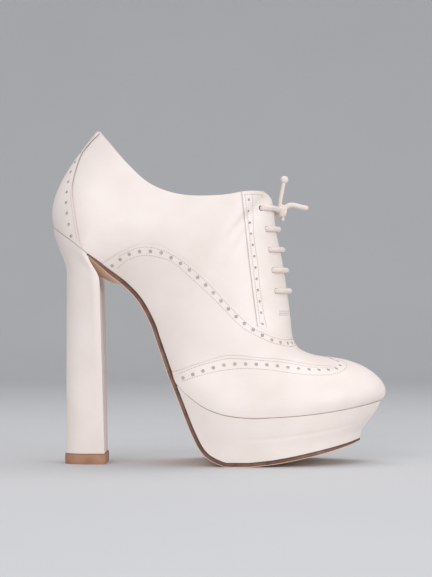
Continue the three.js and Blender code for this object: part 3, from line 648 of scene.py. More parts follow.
# A straight cutter from an outline in plan, or in side view and across the shoe
def prism(outline, start, end, acrossShoe):
    outline = np.asarray(outline, float)
    x, z = outline.T
    if np.sum(x * np.roll(z, -1) - np.roll(x, -1) * z) < 0:
        outline = outline[::-1]
    count = len(outline)
    points = [(a, level, b) if acrossShoe else (a, b, level) for level in (start, end) for a, b in outline]
    faces = [tuple(range(count))[::-1], tuple(range(count, 2 * count))]
    faces += [(k, (k + 1) % count, count + (k + 1) % count, count + k) for k in range(count)]
    if acrossShoe:
        faces = [face[::-1] for face in faces]
    return makeObject("cutter", points, faces, None)


def dropEmptySlots(mesh):
    finishes = list(mesh.materials)
    kept = [k for k, finish in enumerate(finishes) if finish is not None]
    if not kept or len(kept) == len(finishes):
        return
    index = np.zeros(len(mesh.polygons), dtype=np.int32)
    mesh.polygons.foreach_get("material_index", index)
    lookup = np.array([kept.index(k) if k in kept else 0 for k in range(len(finishes))], dtype=np.int32)
    mesh.materials.clear()
    for k in kept:
        mesh.materials.append(finishes[k])
    mesh.polygons.foreach_set("material_index", lookup[index])


# Turns the modifiers' result into the piece's own mesh
def settle(piece):
    depsgraph = bpy.context.evaluated_depsgraph_get()
    result = bpy.data.meshes.new_from_object(piece.evaluated_get(depsgraph))
    piece.modifiers.clear()
    old, piece.data = piece.data, result
    bpy.data.meshes.remove(old)
    dropEmptySlots(result)
    return piece


def combine(piece, cutter, operation, keep=False):
    modifier = piece.modifiers.new("cut", "BOOLEAN")
    modifier.operation = operation
    modifier.solver = "MANIFOLD"
    modifier.object = cutter
    settle(piece)
    if not keep:
        bpy.data.objects.remove(cutter)
    if len(piece.data.polygons) == 0:
        raise RuntimeError(f"{piece.name} is empty after {operation}")
    return piece


# Seams as station and v, from the sole up
reach = 60.0
capSeam = [(10, 0), (10.22, 0.04), (10.83, 0.19), (11.37, 0.34), (12.62, 0.49), (13.83, 0.6), (15.65, 0.66),
           (16.81, 0.7)]
vampSeam = [(3.75, 0), (3.94, 0.175), (4.25, 0.35), (4.6, 0.4), (5.07, 0.41), (6.48, 0.375), (7.56, 0.355),
            (8.57, 0.38), (10.33, 0.485), (11.12, 0.55), (11.89, 0.63), (12.79, 0.75), (13.6, 1)]
facingSeam = [(5.95, 0.985), (7.57, 0.695), (8.69, 0.612), (9.65, 0.591), (10.62, 0.58), (11.27, 0.565)]
counterSeam = [(0.43, 1), (0.34, 0.9), (0.37, 0.765), (0.83, 0.505), (1.36, 0.29), (1.99, 0.06), (2.5, 0)]


def seamLine(places, count):
    points = np.array([bareSurface(t, -1.0, v) for t, v in places])[:, [0, 2]]
    p = np.vstack([points[0], points, points[-1]])
    line = []
    for f in np.linspace(0, len(points) - 1, count + 1):
        k = min(int(f), len(points) - 2)
        line.append(curve(*p[k:k + 4], f - k))
    return np.array(line)


def under(line, grow, startX):
    lifted = line + np.array([0, grow])
    end = lifted[-1]
    endX = end[0] + grow
    return [(startX, lifted[0][1]), *map(tuple, lifted), (endX, end[1]), (endX, -1), (startX, -1)]


# The cap's outline in plan: a peak in the middle, a dip on each side, then the wings
def capRegion(grow):
    line = seamLine(capSeam, 60)
    length, wide = shoe["length"], shoe["ballWidth"]
    joinX = line[-1][0] - grow
    wings = prism(under(line, grow, 0.3 * length), -reach, reach, True)
    peakX, dipX = 0.813 * length - grow, 0.852 * length - grow
    middle = float(swingAt(peakX))
    t, v = capSeam[-1]
    dip, wing = 0.11 * wide, abs(float(bareSurface(t, -1.0, v)[1]) - middle)
    ahead = prism([
        (peakX, middle), (dipX, middle - dip), (joinX, middle - wing), (joinX, -reach),
        (length + reach, -reach), (length + reach, reach), (joinX, reach), (joinX, middle + wing),
        (dipX, middle + dip),
    ], 0, shoe["heelHeight"] + shoe["collarRise"], False)
    return combine(wings, ahead, "UNION")


def vampRegion(grow):
    line = seamLine(vampSeam, 90)
    throatX, throatZ = line[-1]
    far = shoe["length"] + reach
    back = prism(under(line, grow, line[0][0] - grow), -reach, reach, True)
    corners = [(throatX, -1), (far, -1), (far, throatZ + grow), (throatX, throatZ + grow)]
    return combine(back, prism(corners, -reach, reach, True), "UNION")


facingFront = bareSurface(frontStation, 1.0, 1.0)
throatFoot = bareSurface(12.0, 1.0, 1.0)
overTop = facingFront[2] + reach
front = {"gap": 6.0, "seam": 0.35, "corner": 8.5, "cornerOut": 0.8, "cornerUp": 1.4, "depth": 30.0,
         "tongueWidth": 34.0, "tongueTuck": 8.0, "tongueDrop": 4.0}


def frontStrip(width, bottom, top):
    middle, x, d = float(swingAt(throatFoot[0])), throatFoot[0], front["depth"]
    low, high = middle - width / 2, middle + width / 2
    return prism([(x - d, low), (x + d, low), (x + d, high), (x - d, high)], bottom, top, False)


def facingCorners():
    r = front["corner"]
    cx, cz = facingFront[0] - r + front["cornerOut"], facingFront[2] - r + front["cornerUp"]
    arc = [(cx + r * math.cos(a), cz + r * math.sin(a)) for a in np.linspace(0, math.pi / 2, 16)]
    farX = facingFront[0] + reach
    return prism([*arc, (cx, overTop), (farX, overTop), (farX, cz)], -reach, reach, True)


# The smooth outside that gives every panel its normals
def referenceTree():
    tt, vv = np.meshgrid(steps((0, 8, 97), (8, 21, 183)), np.linspace(0, 1, 71), indexing="ij")
    rows, cols = tt.shape
    points, normals, faces = [], [], []
    for side in (-1.0, 1.0):
        base = len(points) * rows * cols
        grid = surface(tt, side, vv)
        edge = bareNormal(tt, side, vv)
        n = np.cross(np.gradient(grid, axis=0), np.gradient(grid, axis=1)) * -side
        size = np.linalg.norm(n, axis=-1, keepdims=True)
        n = np.where(size > 1e-6, n / np.maximum(size, 1e-6), edge)
        n[[0, -1]] = edge[[0, -1]]
        n[:, [0, -1]] = edge[:, [0, -1]]
        points.append(grid.reshape(-1, 3))
        normals.append(n.reshape(-1, 3))
        for i, j in np.ndindex(rows - 1, cols - 1):
            a = base + i * cols + j
            faces += [(a, a + cols, a + cols + 1), (a, a + cols + 1, a + 1)]
    points = np.vstack(points)
    tree = BVHTree.FromPolygons([Vector(p) for p in points], faces)
    return tree, points, np.vstack(normals), np.array(faces)


refTree, refPoints, refNormals, refFaces = referenceTree()


def outsideAt(point):
    place, _, face, _ = refTree.find_nearest(Vector(point))
    a, b, c = refFaces[face]
    pa, pb, pc = refPoints[a], refPoints[b], refPoints[c]
    q = np.array(place)
    e0, e1, e2 = pb - pa, pc - pa, q - pa
    d00, d01, d11 = e0 @ e0, e0 @ e1, e1 @ e1
    d20, d21 = e2 @ e0, e2 @ e1
    bottom = max(d00 * d11 - d01 * d01, 1e-12)
    v = min(max((d11 * d20 - d01 * d21) / bottom, 0), 1)
    w = min(max((d00 * d21 - d01 * d20) / bottom, 0), 1)
    n = refNormals[a] * (1 - v - w) + refNormals[b] * v + refNormals[c] * w
    return q, n / max(np.linalg.norm(n), 1e-9)



# Gives a panel's faces their finish and its corners the normals of the smooth outside. Hole walls and floors
# take the darker hole finish: partly the darker backing that real perforations show, partly painted shade of
# the hole's depth
def finishPanel(piece, depths, holes=None, inner=0, edge=1, punched=2):
    mesh = piece.data
    shallow, middle = depths[0], sum(depths) / 2
    places = np.array([v.co[:] for v in mesh.vertices]) * 1000 + origin
    found = [outsideAt(p) for p in places]
    outPlace, normals = (np.array([f[k] for f in found]) for k in range(2))
    inside = np.einsum("ij,ij->i", outPlace - places, normals)
    loopNormals = [None] * len(mesh.loops)
    for polygon in mesh.polygons:
        corners = list(polygon.vertices)
        own = np.array(polygon.normal)
        facing = float(own @ unit(normals[corners].mean(axis=0)))
        depth = float(inside[corners].mean())
        isOut = facing > 0.6 and depth < middle
        isIn = facing < -0.6 and depth > middle
        # Side walls take the edge finish: cut-edge colour with painted shade along the step
        index = 0 if isOut else inner if isIn else edge
        if index == edge and inner != 0 and own[2] > 0.3:
            index = 0
        # Walls beside a hole and floors of the blind holes get the darker hole finish, painted shade
        if holes is not None and not isOut and not isIn:
            away = np.linalg.norm(holes - places[corners].mean(axis=0), axis=1)
            index = punched if np.min(away) < punch["reach"] else index
        elif holes is not None and isOut and depth > shallow + 0.12:
            index = punched
        polygon.material_index = index
        for loop, corner in zip(polygon.loop_indices, corners):
            loopNormals[loop] = normals[corner] if isOut else -normals[corner] if isIn else own
    shadeSmooth(mesh)
    mesh.normals_split_custom_set([tuple(n) for n in loopNormals])
    mesh.update()


# Geometry Nodes that set one small form on each marked point, square to the leather
def scatterTree(name, sizes, build):
    inputs = {"Geometry": "Geometry", **sizes, "Material": "Material"}
    tree, source, result = nodeGroup(name, "GeometryNodeTree", inputs, {"Geometry": "Geometry"})
    turn = addNode(tree, "FunctionNodeAxesToRotation", {}, primary_axis="Z", secondary_axis="X")
    for socket, label in enumerate(("out", "run")):
        read = addNode(tree, "GeometryNodeInputNamedAttribute", {"Name": label}, data_type="FLOAT_VECTOR")
        tree.links.new(read.outputs["Attribute"], turn.inputs[socket])
    place = addNode(tree, "GeometryNodeInstanceOnPoints", {
        "Points": source.outputs["Geometry"], "Instance": build(tree, source), "Rotation": turn.outputs[0],
    })
    real = addNode(tree, "GeometryNodeRealizeInstances", {0: place.outputs["Instances"]})
    finish = addNode(tree, "GeometryNodeSetMaterial", {
        "Geometry": real.outputs[0], "Material": source.outputs["Material"],
    })
    tree.links.new(finish.outputs[0], result.inputs[0])
    return tree


def punchForm(tree, source):
    sizes = {label: source.outputs[label] for label in ("Radius", "Depth")}
    return addNode(tree, "GeometryNodeMeshCylinder", {"Vertices": 14, **sizes}).outputs["Mesh"]


def stitchForm(tree, source):
    ball = addNode(tree, "GeometryNodeMeshUVSphere", {"Segments": 8, "Rings": 5, "Radius": 0.5})
    axes = {axis: source.outputs[label] for axis, label in zip("XYZ", ("Length", "Width", "Height"))}
    size = addNode(tree, "ShaderNodeCombineXYZ", axes)
    sized = {"Geometry": ball.outputs["Mesh"], "Scale": size.outputs[0]}
    shape = addNode(tree, "GeometryNodeTransform", sized)
    return addNode(tree, "GeometryNodeSetShadeSmooth", {0: shape.outputs[0]}).outputs[0]


punchTree = scatterTree("punches", {"Radius": 0.00075, "Depth": 0.0012}, punchForm)
stitchTree = scatterTree("stitches", {"Length": 0.0015, "Width": 0.0004, "Height": 0.0003}, stitchForm)


def scatter(name, tree, marks, values, finish):
    points, *ways = marks
    mesh = bpy.data.meshes.new(name)
    mesh.from_pydata([tuple(p) for p in metres(points)], [], [])
    for label, data in zip(("out", "run"), ways):
        layer = mesh.attributes.new(label, "FLOAT_VECTOR", "POINT")
        layer.data.foreach_set("vector", np.asarray(data, dtype=np.float32).ravel())
    piece = addObject(name, mesh)
    modifier = piece.modifiers.new("scatter", "NODES")
    modifier.node_group = tree
    sockets = {item.name: item.identifier for item in tree.interface.items_tree if item.in_out == "INPUT"}
    for label, value in values.items():
        modifier[sockets[label]] = value / 1000
    modifier[sockets["Material"]] = materials[finish]
    return settle(piece)


def fromSide(point, side):
    hit = refTree.ray_cast(Vector((point[0], side * 100, point[2])), Vector((0, -side, 0)))[0]
    seen = outsideAt(np.array(hit)) if hit is not None else None
    return seen if seen is not None and abs(seen[1][1]) > 0.4 else outsideAt(point)



def lineOnShoe(places, spacing, depth):
    t, v = np.array(places, float).T
    points, outs, runs = [], [], []
    for side in (-1.0, 1.0):
        path, _ = throughPoints(bareSurface(t, side, v), spacing)
        found = [fromSide(p, side) for p in path]
        normals = np.array([f[1] for f in found])
        points.append(np.array([f[0] for f in found]) - normals * depth)
        outs.append(normals)
        runs.append(np.gradient(points[-1], axis=0))
    return [np.vstack(part) for part in (points, outs, runs)]


# Dot and stitch lines as station and v along each panel
dotLines = {
    "cap": [
        (10.85, 0.061), (11.19, 0.181), (11.56, 0.295), (12.15, 0.387), (13.16, 0.48), (14.48, 0.549),
        (15.58, 0.581), (16.53, 0.621), (16.99, 0.654), (17.33, 0.72), (17.42, 0.83), (17.1, 0.93),
        (16.85, 1.0),
    ],
    "vamp": [
        (4.1, 0.042), (4.15, 0.125), (4.27, 0.224), (4.5, 0.294), (4.81, 0.333), (5.29, 0.354),
        (6.46, 0.34), (8.01, 0.327), (9.09, 0.382), (10.16, 0.443), (11.22, 0.529), (12.15, 0.613),
        (12.69, 0.667), (13.17, 0.732), (13.5, 0.805), (13.85, 0.93),
    ],
    "facing": [
        (6.68, 0.903), (7.27, 0.782), (8.27, 0.663), (8.92, 0.646), (9.95, 0.622), (10.7, 0.616),
        (11.3, 0.6),
    ],
    "counter": [
        (0.16, 0.79), (0.27, 0.708), (0.38, 0.628), (0.54, 0.54), (0.68, 0.455), (0.85, 0.353),
        (1.07, 0.247), (1.32, 0.139), (1.57, 0.039),
    ],
}
stitchLines = {
    "cap": [[
        (10.48, 0.056), (10.92, 0.186), (11.18, 0.26), (11.45, 0.33), (11.84, 0.389), (12.73, 0.48),
        (13.93, 0.577), (15.69, 0.625), (16.81, 0.665), (17.05, 0.71),
    ], [
        (10.97, 0.05), (11.22, 0.141), (11.62, 0.258), (12.24, 0.36), (13.3, 0.446), (14.7, 0.491),
        (15.88, 0.513), (16.9, 0.56), (17.6, 0.66), (17.95, 0.8), (17.6, 0.93), (17.3, 1.0),
    ]],
    "vamp": [[
        (4.05, 0.168), (4.21, 0.268), (4.38, 0.331), (4.69, 0.369), (5.16, 0.378), (5.78, 0.369),
        (6.49, 0.355), (7.54, 0.339), (8.58, 0.365), (9.46, 0.414), (10.35, 0.471), (11.15, 0.534),
        (11.91, 0.611), (12.8, 0.716), (13.35, 0.847), (13.7, 0.98),
    ], [
        (4.33, 0.058), (4.39, 0.172), (4.75, 0.28), (5.43, 0.318), (5.97, 0.323), (7.29, 0.307),
        (8.48, 0.329), (9.4, 0.383), (10.82, 0.474), (11.76, 0.559), (12.46, 0.622), (13.59, 0.764),
        (14.1, 0.92),
    ]],
    "facing": [[
        (6.21, 0.958), (7.77, 0.695), (8.77, 0.632), (9.75, 0.611), (10.7, 0.599), (11.2, 0.586),
    ], [
        (6.66, 0.953), (8.5, 0.674), (9.22, 0.657), (10.06, 0.638), (11.01, 0.629), (11.5, 0.62),
    ], [
        (6.2, 0.965), (6.7, 0.962), (7.2, 0.945), (7.6, 0.9),
    ]],
    "counter": [[
        (0.3, 0.951), (0.3, 0.876), (0.37, 0.761), (0.59, 0.636), (0.8, 0.5), (1.03, 0.385),
        (1.3, 0.278), (1.58, 0.151), (1.9, 0.046),
    ]],
}
tackLines = [
    [(11.38, 0.767), (11.7, 0.905)], [(11.45, 0.762), (11.79, 0.9)], [(11.52, 0.757), (11.87, 0.896)],
]
punch = {"cap": 1.05, "vamp": 1.05, "facing": 0.8, "counter": 1.0, "depth": 0.42, "spacing": 6.3,
         "counterSpacing": 7.1, "reach": 1.3}
stitch = {"length": 1.0, "width": 0.36, "height": 0.32, "spacing": 1.5, "tackSpacing": 1.3, "sunk": 0.04}
# How deep each layer starts and ends under the shoe's outside
depths = {"cap": (0.0, 0.75), "overlay": (0.28, 0.8), "quarter": (0.8, 3.2), "tongue": (3.45, 5.0)}


def punchPanel(piece, lineName, shallow, spacing=punch["spacing"]):
    marks = lineOnShoe(dotLines[lineName], spacing, shallow)
    values = {"Radius": punch[lineName], "Depth": 2 * punch["depth"]}
    # The pins carry the darker hole finish onto the hole walls, as painted shade
    combine(piece, scatter("pins", punchTree, marks, values, "punched"), "DIFFERENCE")
    return marks[0]


def addStitches(name, lines, depth, spacing=stitch["spacing"]):
    sets = [lineOnShoe(line, spacing, depth - stitch["sunk"]) for line in lines]
    marks = [np.vstack(part) for part in zip(*sets)]
    values = {label: stitch[label.lower()] for label in ("Length", "Width", "Height")}
    onUpper(scatter(name, stitchTree, marks, values, "thread"))


def onUpper(piece, *nodes):
    carry(piece, *nodes)


outerFinishes = ("ivoryLeather", "cutEdge", "punched")
capRoom, vampRoom = capRegion(0.1), vampRegion(0.06)

linedFinishes = ("ivoryLeather", "liningLeather", "cutEdge")
quarterPiece = wallShell("quarters", depths["quarter"], (*linedFinishes, "punched"), lip=True)
combine(quarterPiece, frontStrip(front["gap"], throatFoot[2], overTop), "DIFFERENCE")
combine(quarterPiece, facingCorners(), "DIFFERENCE")
print("quarters made", len(quarterPiece.data.polygons))

capPiece = wallShell("wing_cap", depths["cap"], outerFinishes)
combine(capPiece, capRegion(0), "INTERSECT")
capHoles = punchPanel(capPiece, "cap", depths["cap"][0])
finishPanel(capPiece, depths["cap"], capHoles)

overlayShell = wallShell("overlays", depths["overlay"], outerFinishes)
surfaceDepth = depths["overlay"][0]


def overlayPanel(name, region):
    piece = addObject(name, overlayShell.data.copy())
    return combine(piece, region, "INTERSECT")


vampPiece = overlayPanel("vamp_panel", vampRegion(0))
combine(vampPiece, capRoom, "DIFFERENCE")
vampHoles = punchPanel(vampPiece, "vamp", surfaceDepth)
finishPanel(vampPiece, depths["overlay"], vampHoles)

facingLine = seamLine(facingSeam, 30)
facingRegion = prism([(facingLine[0][0], overTop), *map(tuple, facingLine), (facingLine[-1][0], 0),
                      (shoe["length"], 0), (shoe["length"], overTop)], -reach, reach, True)
facingPiece = overlayPanel("facing_panels", facingRegion)
combine(facingPiece, vampRoom, "DIFFERENCE")
combine(facingPiece, frontStrip(front["gap"], throatFoot[2], overTop), "DIFFERENCE")
combine(facingPiece, frontStrip(front["seam"], 0, overTop), "DIFFERENCE")
combine(facingPiece, facingCorners(), "DIFFERENCE")


def eyeletPins():
    away = lace["eyeletOffset"]
    found = [frontAt(side * away, height, 0) for height in laceHeights for side in (-1.0, 1.0)]
    points, outs = (np.array([f[k] for f in found]) for k in range(2))
    marks = (points, outs, [(0, 0, 1)] * len(points))
    # The eyelet cutters carry the same darker hole finish, painted shade, onto the eyelet walls
    return scatter("eyelets", punchTree, marks, {"Radius": lace["eyelet"], "Depth": 9.0}, "punched"), points


eyelets, eyeletPlaces = eyeletPins()
combine(facingPiece, eyelets, "DIFFERENCE", keep=True)
combine(quarterPiece, eyelets, "DIFFERENCE")
facingHoles = punchPanel(facingPiece, "facing", surfaceDepth)
finishPanel(facingPiece, depths["overlay"], np.vstack([facingHoles, eyeletPlaces]))
finishPanel(quarterPiece, depths["quarter"], inner=1, edge=2, punched=3)

counterLine = seamLine(counterSeam, 40)
counterTop = counterLine[0][1] + reach
counterRegion = prism([*map(tuple, counterLine), (counterLine[-1][0], 0), (-reach, 0), (-reach, counterTop),
                       (counterLine[0][0], counterTop)], -reach, reach, True)
counterPiece = overlayPanel("counter_panel", counterRegion)
counterHoles = punchPanel(counterPiece, "counter", surfaceDepth, punch["counterSpacing"])
finishPanel(counterPiece, depths["overlay"], counterHoles)
bpy.data.objects.remove(overlayShell)

tonguePiece = wallShell("tongue_leather", depths["tongue"], linedFinishes)
tongueLow, tongueHigh = throatFoot[2] - front["tongueTuck"], facingFront[2] - front["tongueDrop"]
combine(tonguePiece, frontStrip(front["tongueWidth"], tongueLow, tongueHigh), "INTERSECT")
finishPanel(tonguePiece, depths["tongue"], inner=1, edge=2)

onUpper(quarterPiece, "upper")
onUpper(capPiece, "toe_cap")
onUpper(vampPiece, "vamp")
onUpper(facingPiece, "facing_outer", "facing_inner")
onUpper(counterPiece, "heel_counter")
onUpper(tonguePiece, "tongue")
print("panels made")

addStitches("cap_stitches", stitchLines["cap"], depths["cap"][0])
for panel in ("vamp", "facing", "counter"):
    addStitches(f"{panel}_stitches", stitchLines[panel], surfaceDepth)
addStitches("bar_tacks", tackLines, surfaceDepth, stitch["tackSpacing"])
print("stitches made")

# Sole, platform and heel
sole = {"gap": 0.5, "thickness": 2.2, "clearance": 0.3, "treadSpring": 13.0, "treadInset": 3.5,
        "treadStart": 0.586, "overlap": 0.35, "waistEnd": 9.75, "endThin": 0.5}
treadRows = np.array([
    [10.7, 0.3572, 1.773], [11.15, 0.3755, 1.465], [11.4, 0.389, 1.22], [12, 0.424, 0.62],
    [12.5, 0.449, 0.3], [13, 0.478, 0.12], [13.5, 0.52, 0], [14, 0.55, 0], [14.5, 0.586, 0],
])


def bottomPoint(t, across):
    outer, inner = footPoint(t, -1), footPoint(t, 1)
    point = outer + (inner - outer) * ((across + 1) / 2)[..., None]
    point[..., 2] -= between(t)[..., dome] * shoe["heelWidth"] / 2 * (1 - across * across)
    return point


def bottomNormal(t):
    step = 0.05
    one = np.ones_like(t)
    back = bottomPoint(np.maximum(t - step, 0), one)
    ahead = bottomPoint(np.minimum(t + step, lastStation), one)
    return unit(vec(ahead[..., 2] - back[..., 2], 0, back[..., 0] - ahead[..., 0]))


def treadPoint(t, across):
    outer, inner = footPoint(t, -1), footPoint(t, 1)
    middle = (outer[..., 1] + inner[..., 1]) / 2
    inset = sole["treadInset"] * np.clip((t - platformStation) / 2, 0, 1)
    whole = (inner[..., 1] - outer[..., 1]) / 2
    half = whole - inset * np.clip(whole / 12, 0, 1)
    ballX, toeX = (stationTable[k + 1][along] * shoe["length"] for k in (ballStation, lastStation))
    x = outer[..., 0] - tipInset * np.clip((outer[..., 0] - ballX) / (toeX - ballX), 0, 1) ** 2.5
    tipX, startX = toeX - tipInset, sole["treadStart"] * shoe["length"]
    z = sole["treadSpring"] * np.clip((x - startX) / (tipX - startX), 0, 1) ** 1.4
    return vec(x, middle + across * half, z)


def hermite(x, xs, ys):
    slopes = np.gradient(ys, xs)
    k = np.clip(np.searchsorted(xs, x) - 1, 0, len(xs) - 2)
    h = xs[k + 1] - xs[k]
    f = (x - xs[k]) / h
    return ((1 + 2 * f) * (1 - f) ** 2 * ys[k] + f * (1 - f) ** 2 * h * slopes[k]
            + f * f * (3 - 2 * f) * ys[k + 1] + f * f * (f - 1) * h * slopes[k + 1])


def waistPoint(t, across):
    return bottomPoint(t, across) + bottomNormal(t) * (sole["gap"] + sole["thickness"])


def soleLines():
    waistT, treadT, zero = np.array([8.5, 9.25, sole["waistEnd"]]), np.array([15, 15.6, 16.2]), np.zeros(3)
    waist, tread = waistPoint(waistT, zero), treadPoint(treadT, zero)
    knots = np.concatenate([waistT, treadRows[:, 0], treadT])
    xs = np.concatenate([waist[:, 0], treadRows[:, 1] * shoe["length"], tread[:, 0]])
    zs = np.concatenate([waist[:, 2], treadRows[:, 2] * shoe["platformHeight"], tread[:, 2]])
    return knots, xs, zs


soleKnots, soleXs, soleZs = soleLines()


def soleRow(t, across):
    tt = np.full_like(across, t)
    if t <= sole["waistEnd"]:
        return waistPoint(tt, across)
    point = treadPoint(tt, across)
    if t < 15:
        blend = smooth(t, sole["waistEnd"], 10.9)
        point[..., 1] = bottomPoint(tt, across)[..., 1] * (1 - blend) + point[..., 1] * blend
        x, z = (hermite(np.array([t]), soleKnots, line)[0] for line in (soleXs, soleZs))
        point[..., 0] = x
        point[..., 2] = max(z, 0) if t > 13 else z
    if 13.5 <= t <= 14.5:
        point[..., 2] = 0
    return point


def raised(rows, distance):
    step = np.gradient(rows[:, rows.shape[1] // 2], axis=0)
    return rows + unit(vec(-step[:, 2], 0, step[:, 0]))[:, None, :] * distance


acrossFine = np.sin(np.linspace(-math.pi / 2, math.pi / 2, 25))
soleT = steps((3, sole["waistEnd"], 41), (sole["waistEnd"], 15, 64), (15, 20, 41), (20, 21, 17))
soleRows = np.array([soleRow(t, acrossFine) for t in soleT])


# A closed block from layers of rows, top layer first. sides gives each band's finish
def slab(name, layers, slotName, finishes, sharp, sides=None):
    rows, columns = layers[0].shape[:2]
    points = np.vstack([layer.reshape(-1, 3) for layer in layers])
    faces, tags, last = [], [], len(layers) - 1

    def addFace(tag, *corners):
        faces.append([(k * rows + r) * columns + c for k, r, c in corners])
        tags.append(tag)

    for r in range(rows - 1):
        for c in range(columns - 1):
            addFace(0, (0, r, c), (0, r + 1, c), (0, r + 1, c + 1), (0, r, c + 1))
            addFace(0, (last, r, c), (last, r, c + 1), (last, r + 1, c + 1), (last, r + 1, c))
    for k in range(last):
        tag, n, end = sides[k] if sides else 0, k + 1, columns - 1
        for r in range(rows - 1):
            addFace(tag, (k, r, 0), (n, r, 0), (n, r + 1, 0), (k, r + 1, 0))
            addFace(tag, (k, r, end), (k, r + 1, end), (n, r + 1, end), (n, r, end))
        end = rows - 1
        for c in range(columns - 1):
            addFace(tag, (k, 0, c), (k, 0, c + 1), (n, 0, c + 1), (n, 0, c))
            addFace(tag, (k, end, c), (n, end, c), (n, end, c + 1), (k, end, c + 1))
    points, faces, tags = joinPoints(points, faces, tags)
    piece = makeObject(name, points, faces, slotName, *finishes, tags=tags)
    piece.data.set_sharp_from_angle(angle=math.radians(sharp))
    return piece


def fromMiddle(layer, middle):
    away = layer - middle
    away[..., 2] = 0
    size = np.linalg.norm(away, axis=-1, keepdims=True)
    return away / np.maximum(size, 1e-6), size


def bulged(rows, amount):
    out = unit(rows - rows[:, rows.shape[1] // 2][:, None, :], 1e-6)
    return rows + out * amount * (np.abs(acrossFine) ** 8)[None, :, None]


def soleFaces(rows, t):
    thick = (sole["thickness"] + sole["overlap"]) * (1 - sole["endThin"] * smooth(t, 16.5, 20.8))
    top = raised(rows, thick[:, None, None])
    return top, top + (rows - top) * (0.3 + 0.7 * smooth(t, 3, 4.5))[:, None, None]


soleTop, soleBottom = soleFaces(soleRows, soleT)
edgeShape = ((0, -0.12), (0.3, 0.1), (0.55, 0.16), (0.86, 0.05), (1, -0.12))
edgeLayers = [bulged(soleTop + (soleBottom - soleTop) * f, amount) for f, amount in edgeShape]
# Edge bands from the top: painted shade in the joint, then the dyed edge, then the tan of the sole's bottom
# on the lower rounding
soleFinishes = ("soleLeather", "soleEdge", "edgeLine")
outsolePiece = slab("sole_leather", edgeLayers, "sole_leather", soleFinishes, 50, [2, 1, 1, 0])
carry(outsolePiece, "outsole")

platform = {"start": 10.99, "seat": 0.1, "lift": 0.05, "groove": 0.35, "grooveHeight": 0.5}
platformSide = np.array([[0, 0], [0.22, 0.13], [0.45, 0.41], [0.72, 0.75], [1, 1]])
platformShares = np.concatenate([[1, 0.985], np.linspace(0.96, 0, 27)])


def platformLayers():
    keep = soleT >= platform["start"]
    low = raised(soleTop, platform["lift"])[keep]
    t, across = np.meshgrid(soleT[keep], acrossFine, indexing="ij")
    top = bottomPoint(t, across) + bottomNormal(t) * platform["seat"]
    edge = (np.abs(acrossFine) ** 12)[None, :, None]
    layers = []
    for share in platformShares:
        out = hermite(np.array([share]), platformSide[:, 0], platformSide[:, 1])[0]
        layer = low + (top - low) * np.array([out, out, share])
        fade = np.exp(-(((share - platform["grooveHeight"]) / 0.022) ** 2))
        line = platform["groove"] * fade * smooth(soleT[keep], 13.5, 15)
        way, _ = fromMiddle(layer, layer[:, len(acrossFine) // 2][:, None, :])
        layers.append(layer - way * line[:, None, None] * edge)
    return layers


# The thin top band of the platform takes the edge finish: edge colour with painted shade in the joint under
# the upper
platformPiece = slab("platform_cover", platformLayers(), "upper_leather", ("ivoryLeather", "cutEdge"), 40,
                     [1] + [0] * (len(platformShares) - 2))
carry(platformPiece, "platform")

heel = {"bottomLength": 23.0, "bottomWidth": 32.0, "setBack": 7.7, "neck": 27.0, "breastNeck": 15.0,
        "lift": 5.8, "overhang": 0.7, "squareness": 4.0, "seat": 0.15}
heelT = steps((0, 0.4, 9), (0.4, 3, 22))


def heelLayer(down, bottomZ, overhang):
    back, breast = footPoint(0.0, 1.0)[0], footPoint(3.0, 1.0)[0]
    t, across = np.meshgrid(heelT, acrossFine, indexing="ij")
    foot = footPoint(t, np.ones_like(t))
    forward = np.clip((foot[..., 0] - back) / (breast - back), 0, 1)
    seatHalf = foot[..., 1] / (shoe["heelWidth"] / 2)
    squareHalf = np.maximum(1 - (1 - forward) ** heel["squareness"], 0) ** (1 / heel["squareness"])
    seat = bottomPoint(t, across) + bottomNormal(t) * heel["seat"]
    z = seat[..., 2] + (bottomZ - seat[..., 2]) * down
    backShift = (heel["setBack"] - overhang) * smooth(seat[..., 2] - z, 0, heel["neck"])
    breastNear = smooth(seat[..., 2] - z, 0, heel["breastNeck"])
    breastFull = heel["setBack"] + heel["bottomLength"] + overhang - (breast - back)
    breastShift = breastFull * (breastNear + (down - breastNear) * 0.3)
    shift = backShift + (breastShift - backShift) * forward
    half = (shoe["heelWidth"] + (heel["bottomWidth"] + 2 * overhang - shoe["heelWidth"]) * down) / 2
    y = across * half * (seatHalf + (squareHalf - seatHalf) * down)
    return vec(seat[..., 0] + shift, y, z)


heelDowns = np.concatenate([np.linspace(0, 0.3, 22), np.linspace(0.3, 1, 15)[1:]])
heelBottom = heel["lift"] + sole["clearance"]
heelLayers = [heelLayer(down, heelBottom, 0) for down in heelDowns]
heelPiece = slab("heel_cover", heelLayers, "upper_leather", ("ivoryLeather",), 40)


def widened(rows, amount):
    first = rows[:, :1] + (rows[:, :1] - rows[:, 3:4]) * amount
    last = rows[:, -1:] + (rows[:, -1:] - rows[:, -4:-3]) * amount
    return np.concatenate([first, rows[:, 1:-1], last], axis=1)


roomT = np.concatenate([[2.96], soleT[soleT < 8]])
roomTop, roomBottom = soleFaces(np.array([soleRow(t, acrossFine) for t in roomT]), roomT)
room = slab("sole_room", [widened(raised(roomTop, 0.3), 0.6), widened(raised(roomBottom, -0.12), 0.6)],
            None, ("ivoryLeather",), 32)
combine(heelPiece, room, "DIFFERENCE")
heelPiece.data.set_sharp_from_angle(angle=math.radians(40))
onUpper(heelPiece, "heel_block")

liftLayers = []
for share, draw in ((1, 0.35), (0.93, 0.05), (0.5, 0), (0.07, 0.05), (0, 0.35)):
    layer = heelLayer(1.0, heel["lift"] * share, heel["overhang"])
    way, size = fromMiddle(layer, layer.reshape(-1, 3).mean(axis=0))
    liftLayers.append(layer - way * np.minimum(size, draw))
liftPiece = slab("heel_lift", liftLayers, "lift_rubber", ("liftRubber",), 45)
carry(liftPiece, "top_lift")

sock = {"inset": 3.6, "thickness": 1.4, "dome": 0.6, "seat": 0.15}


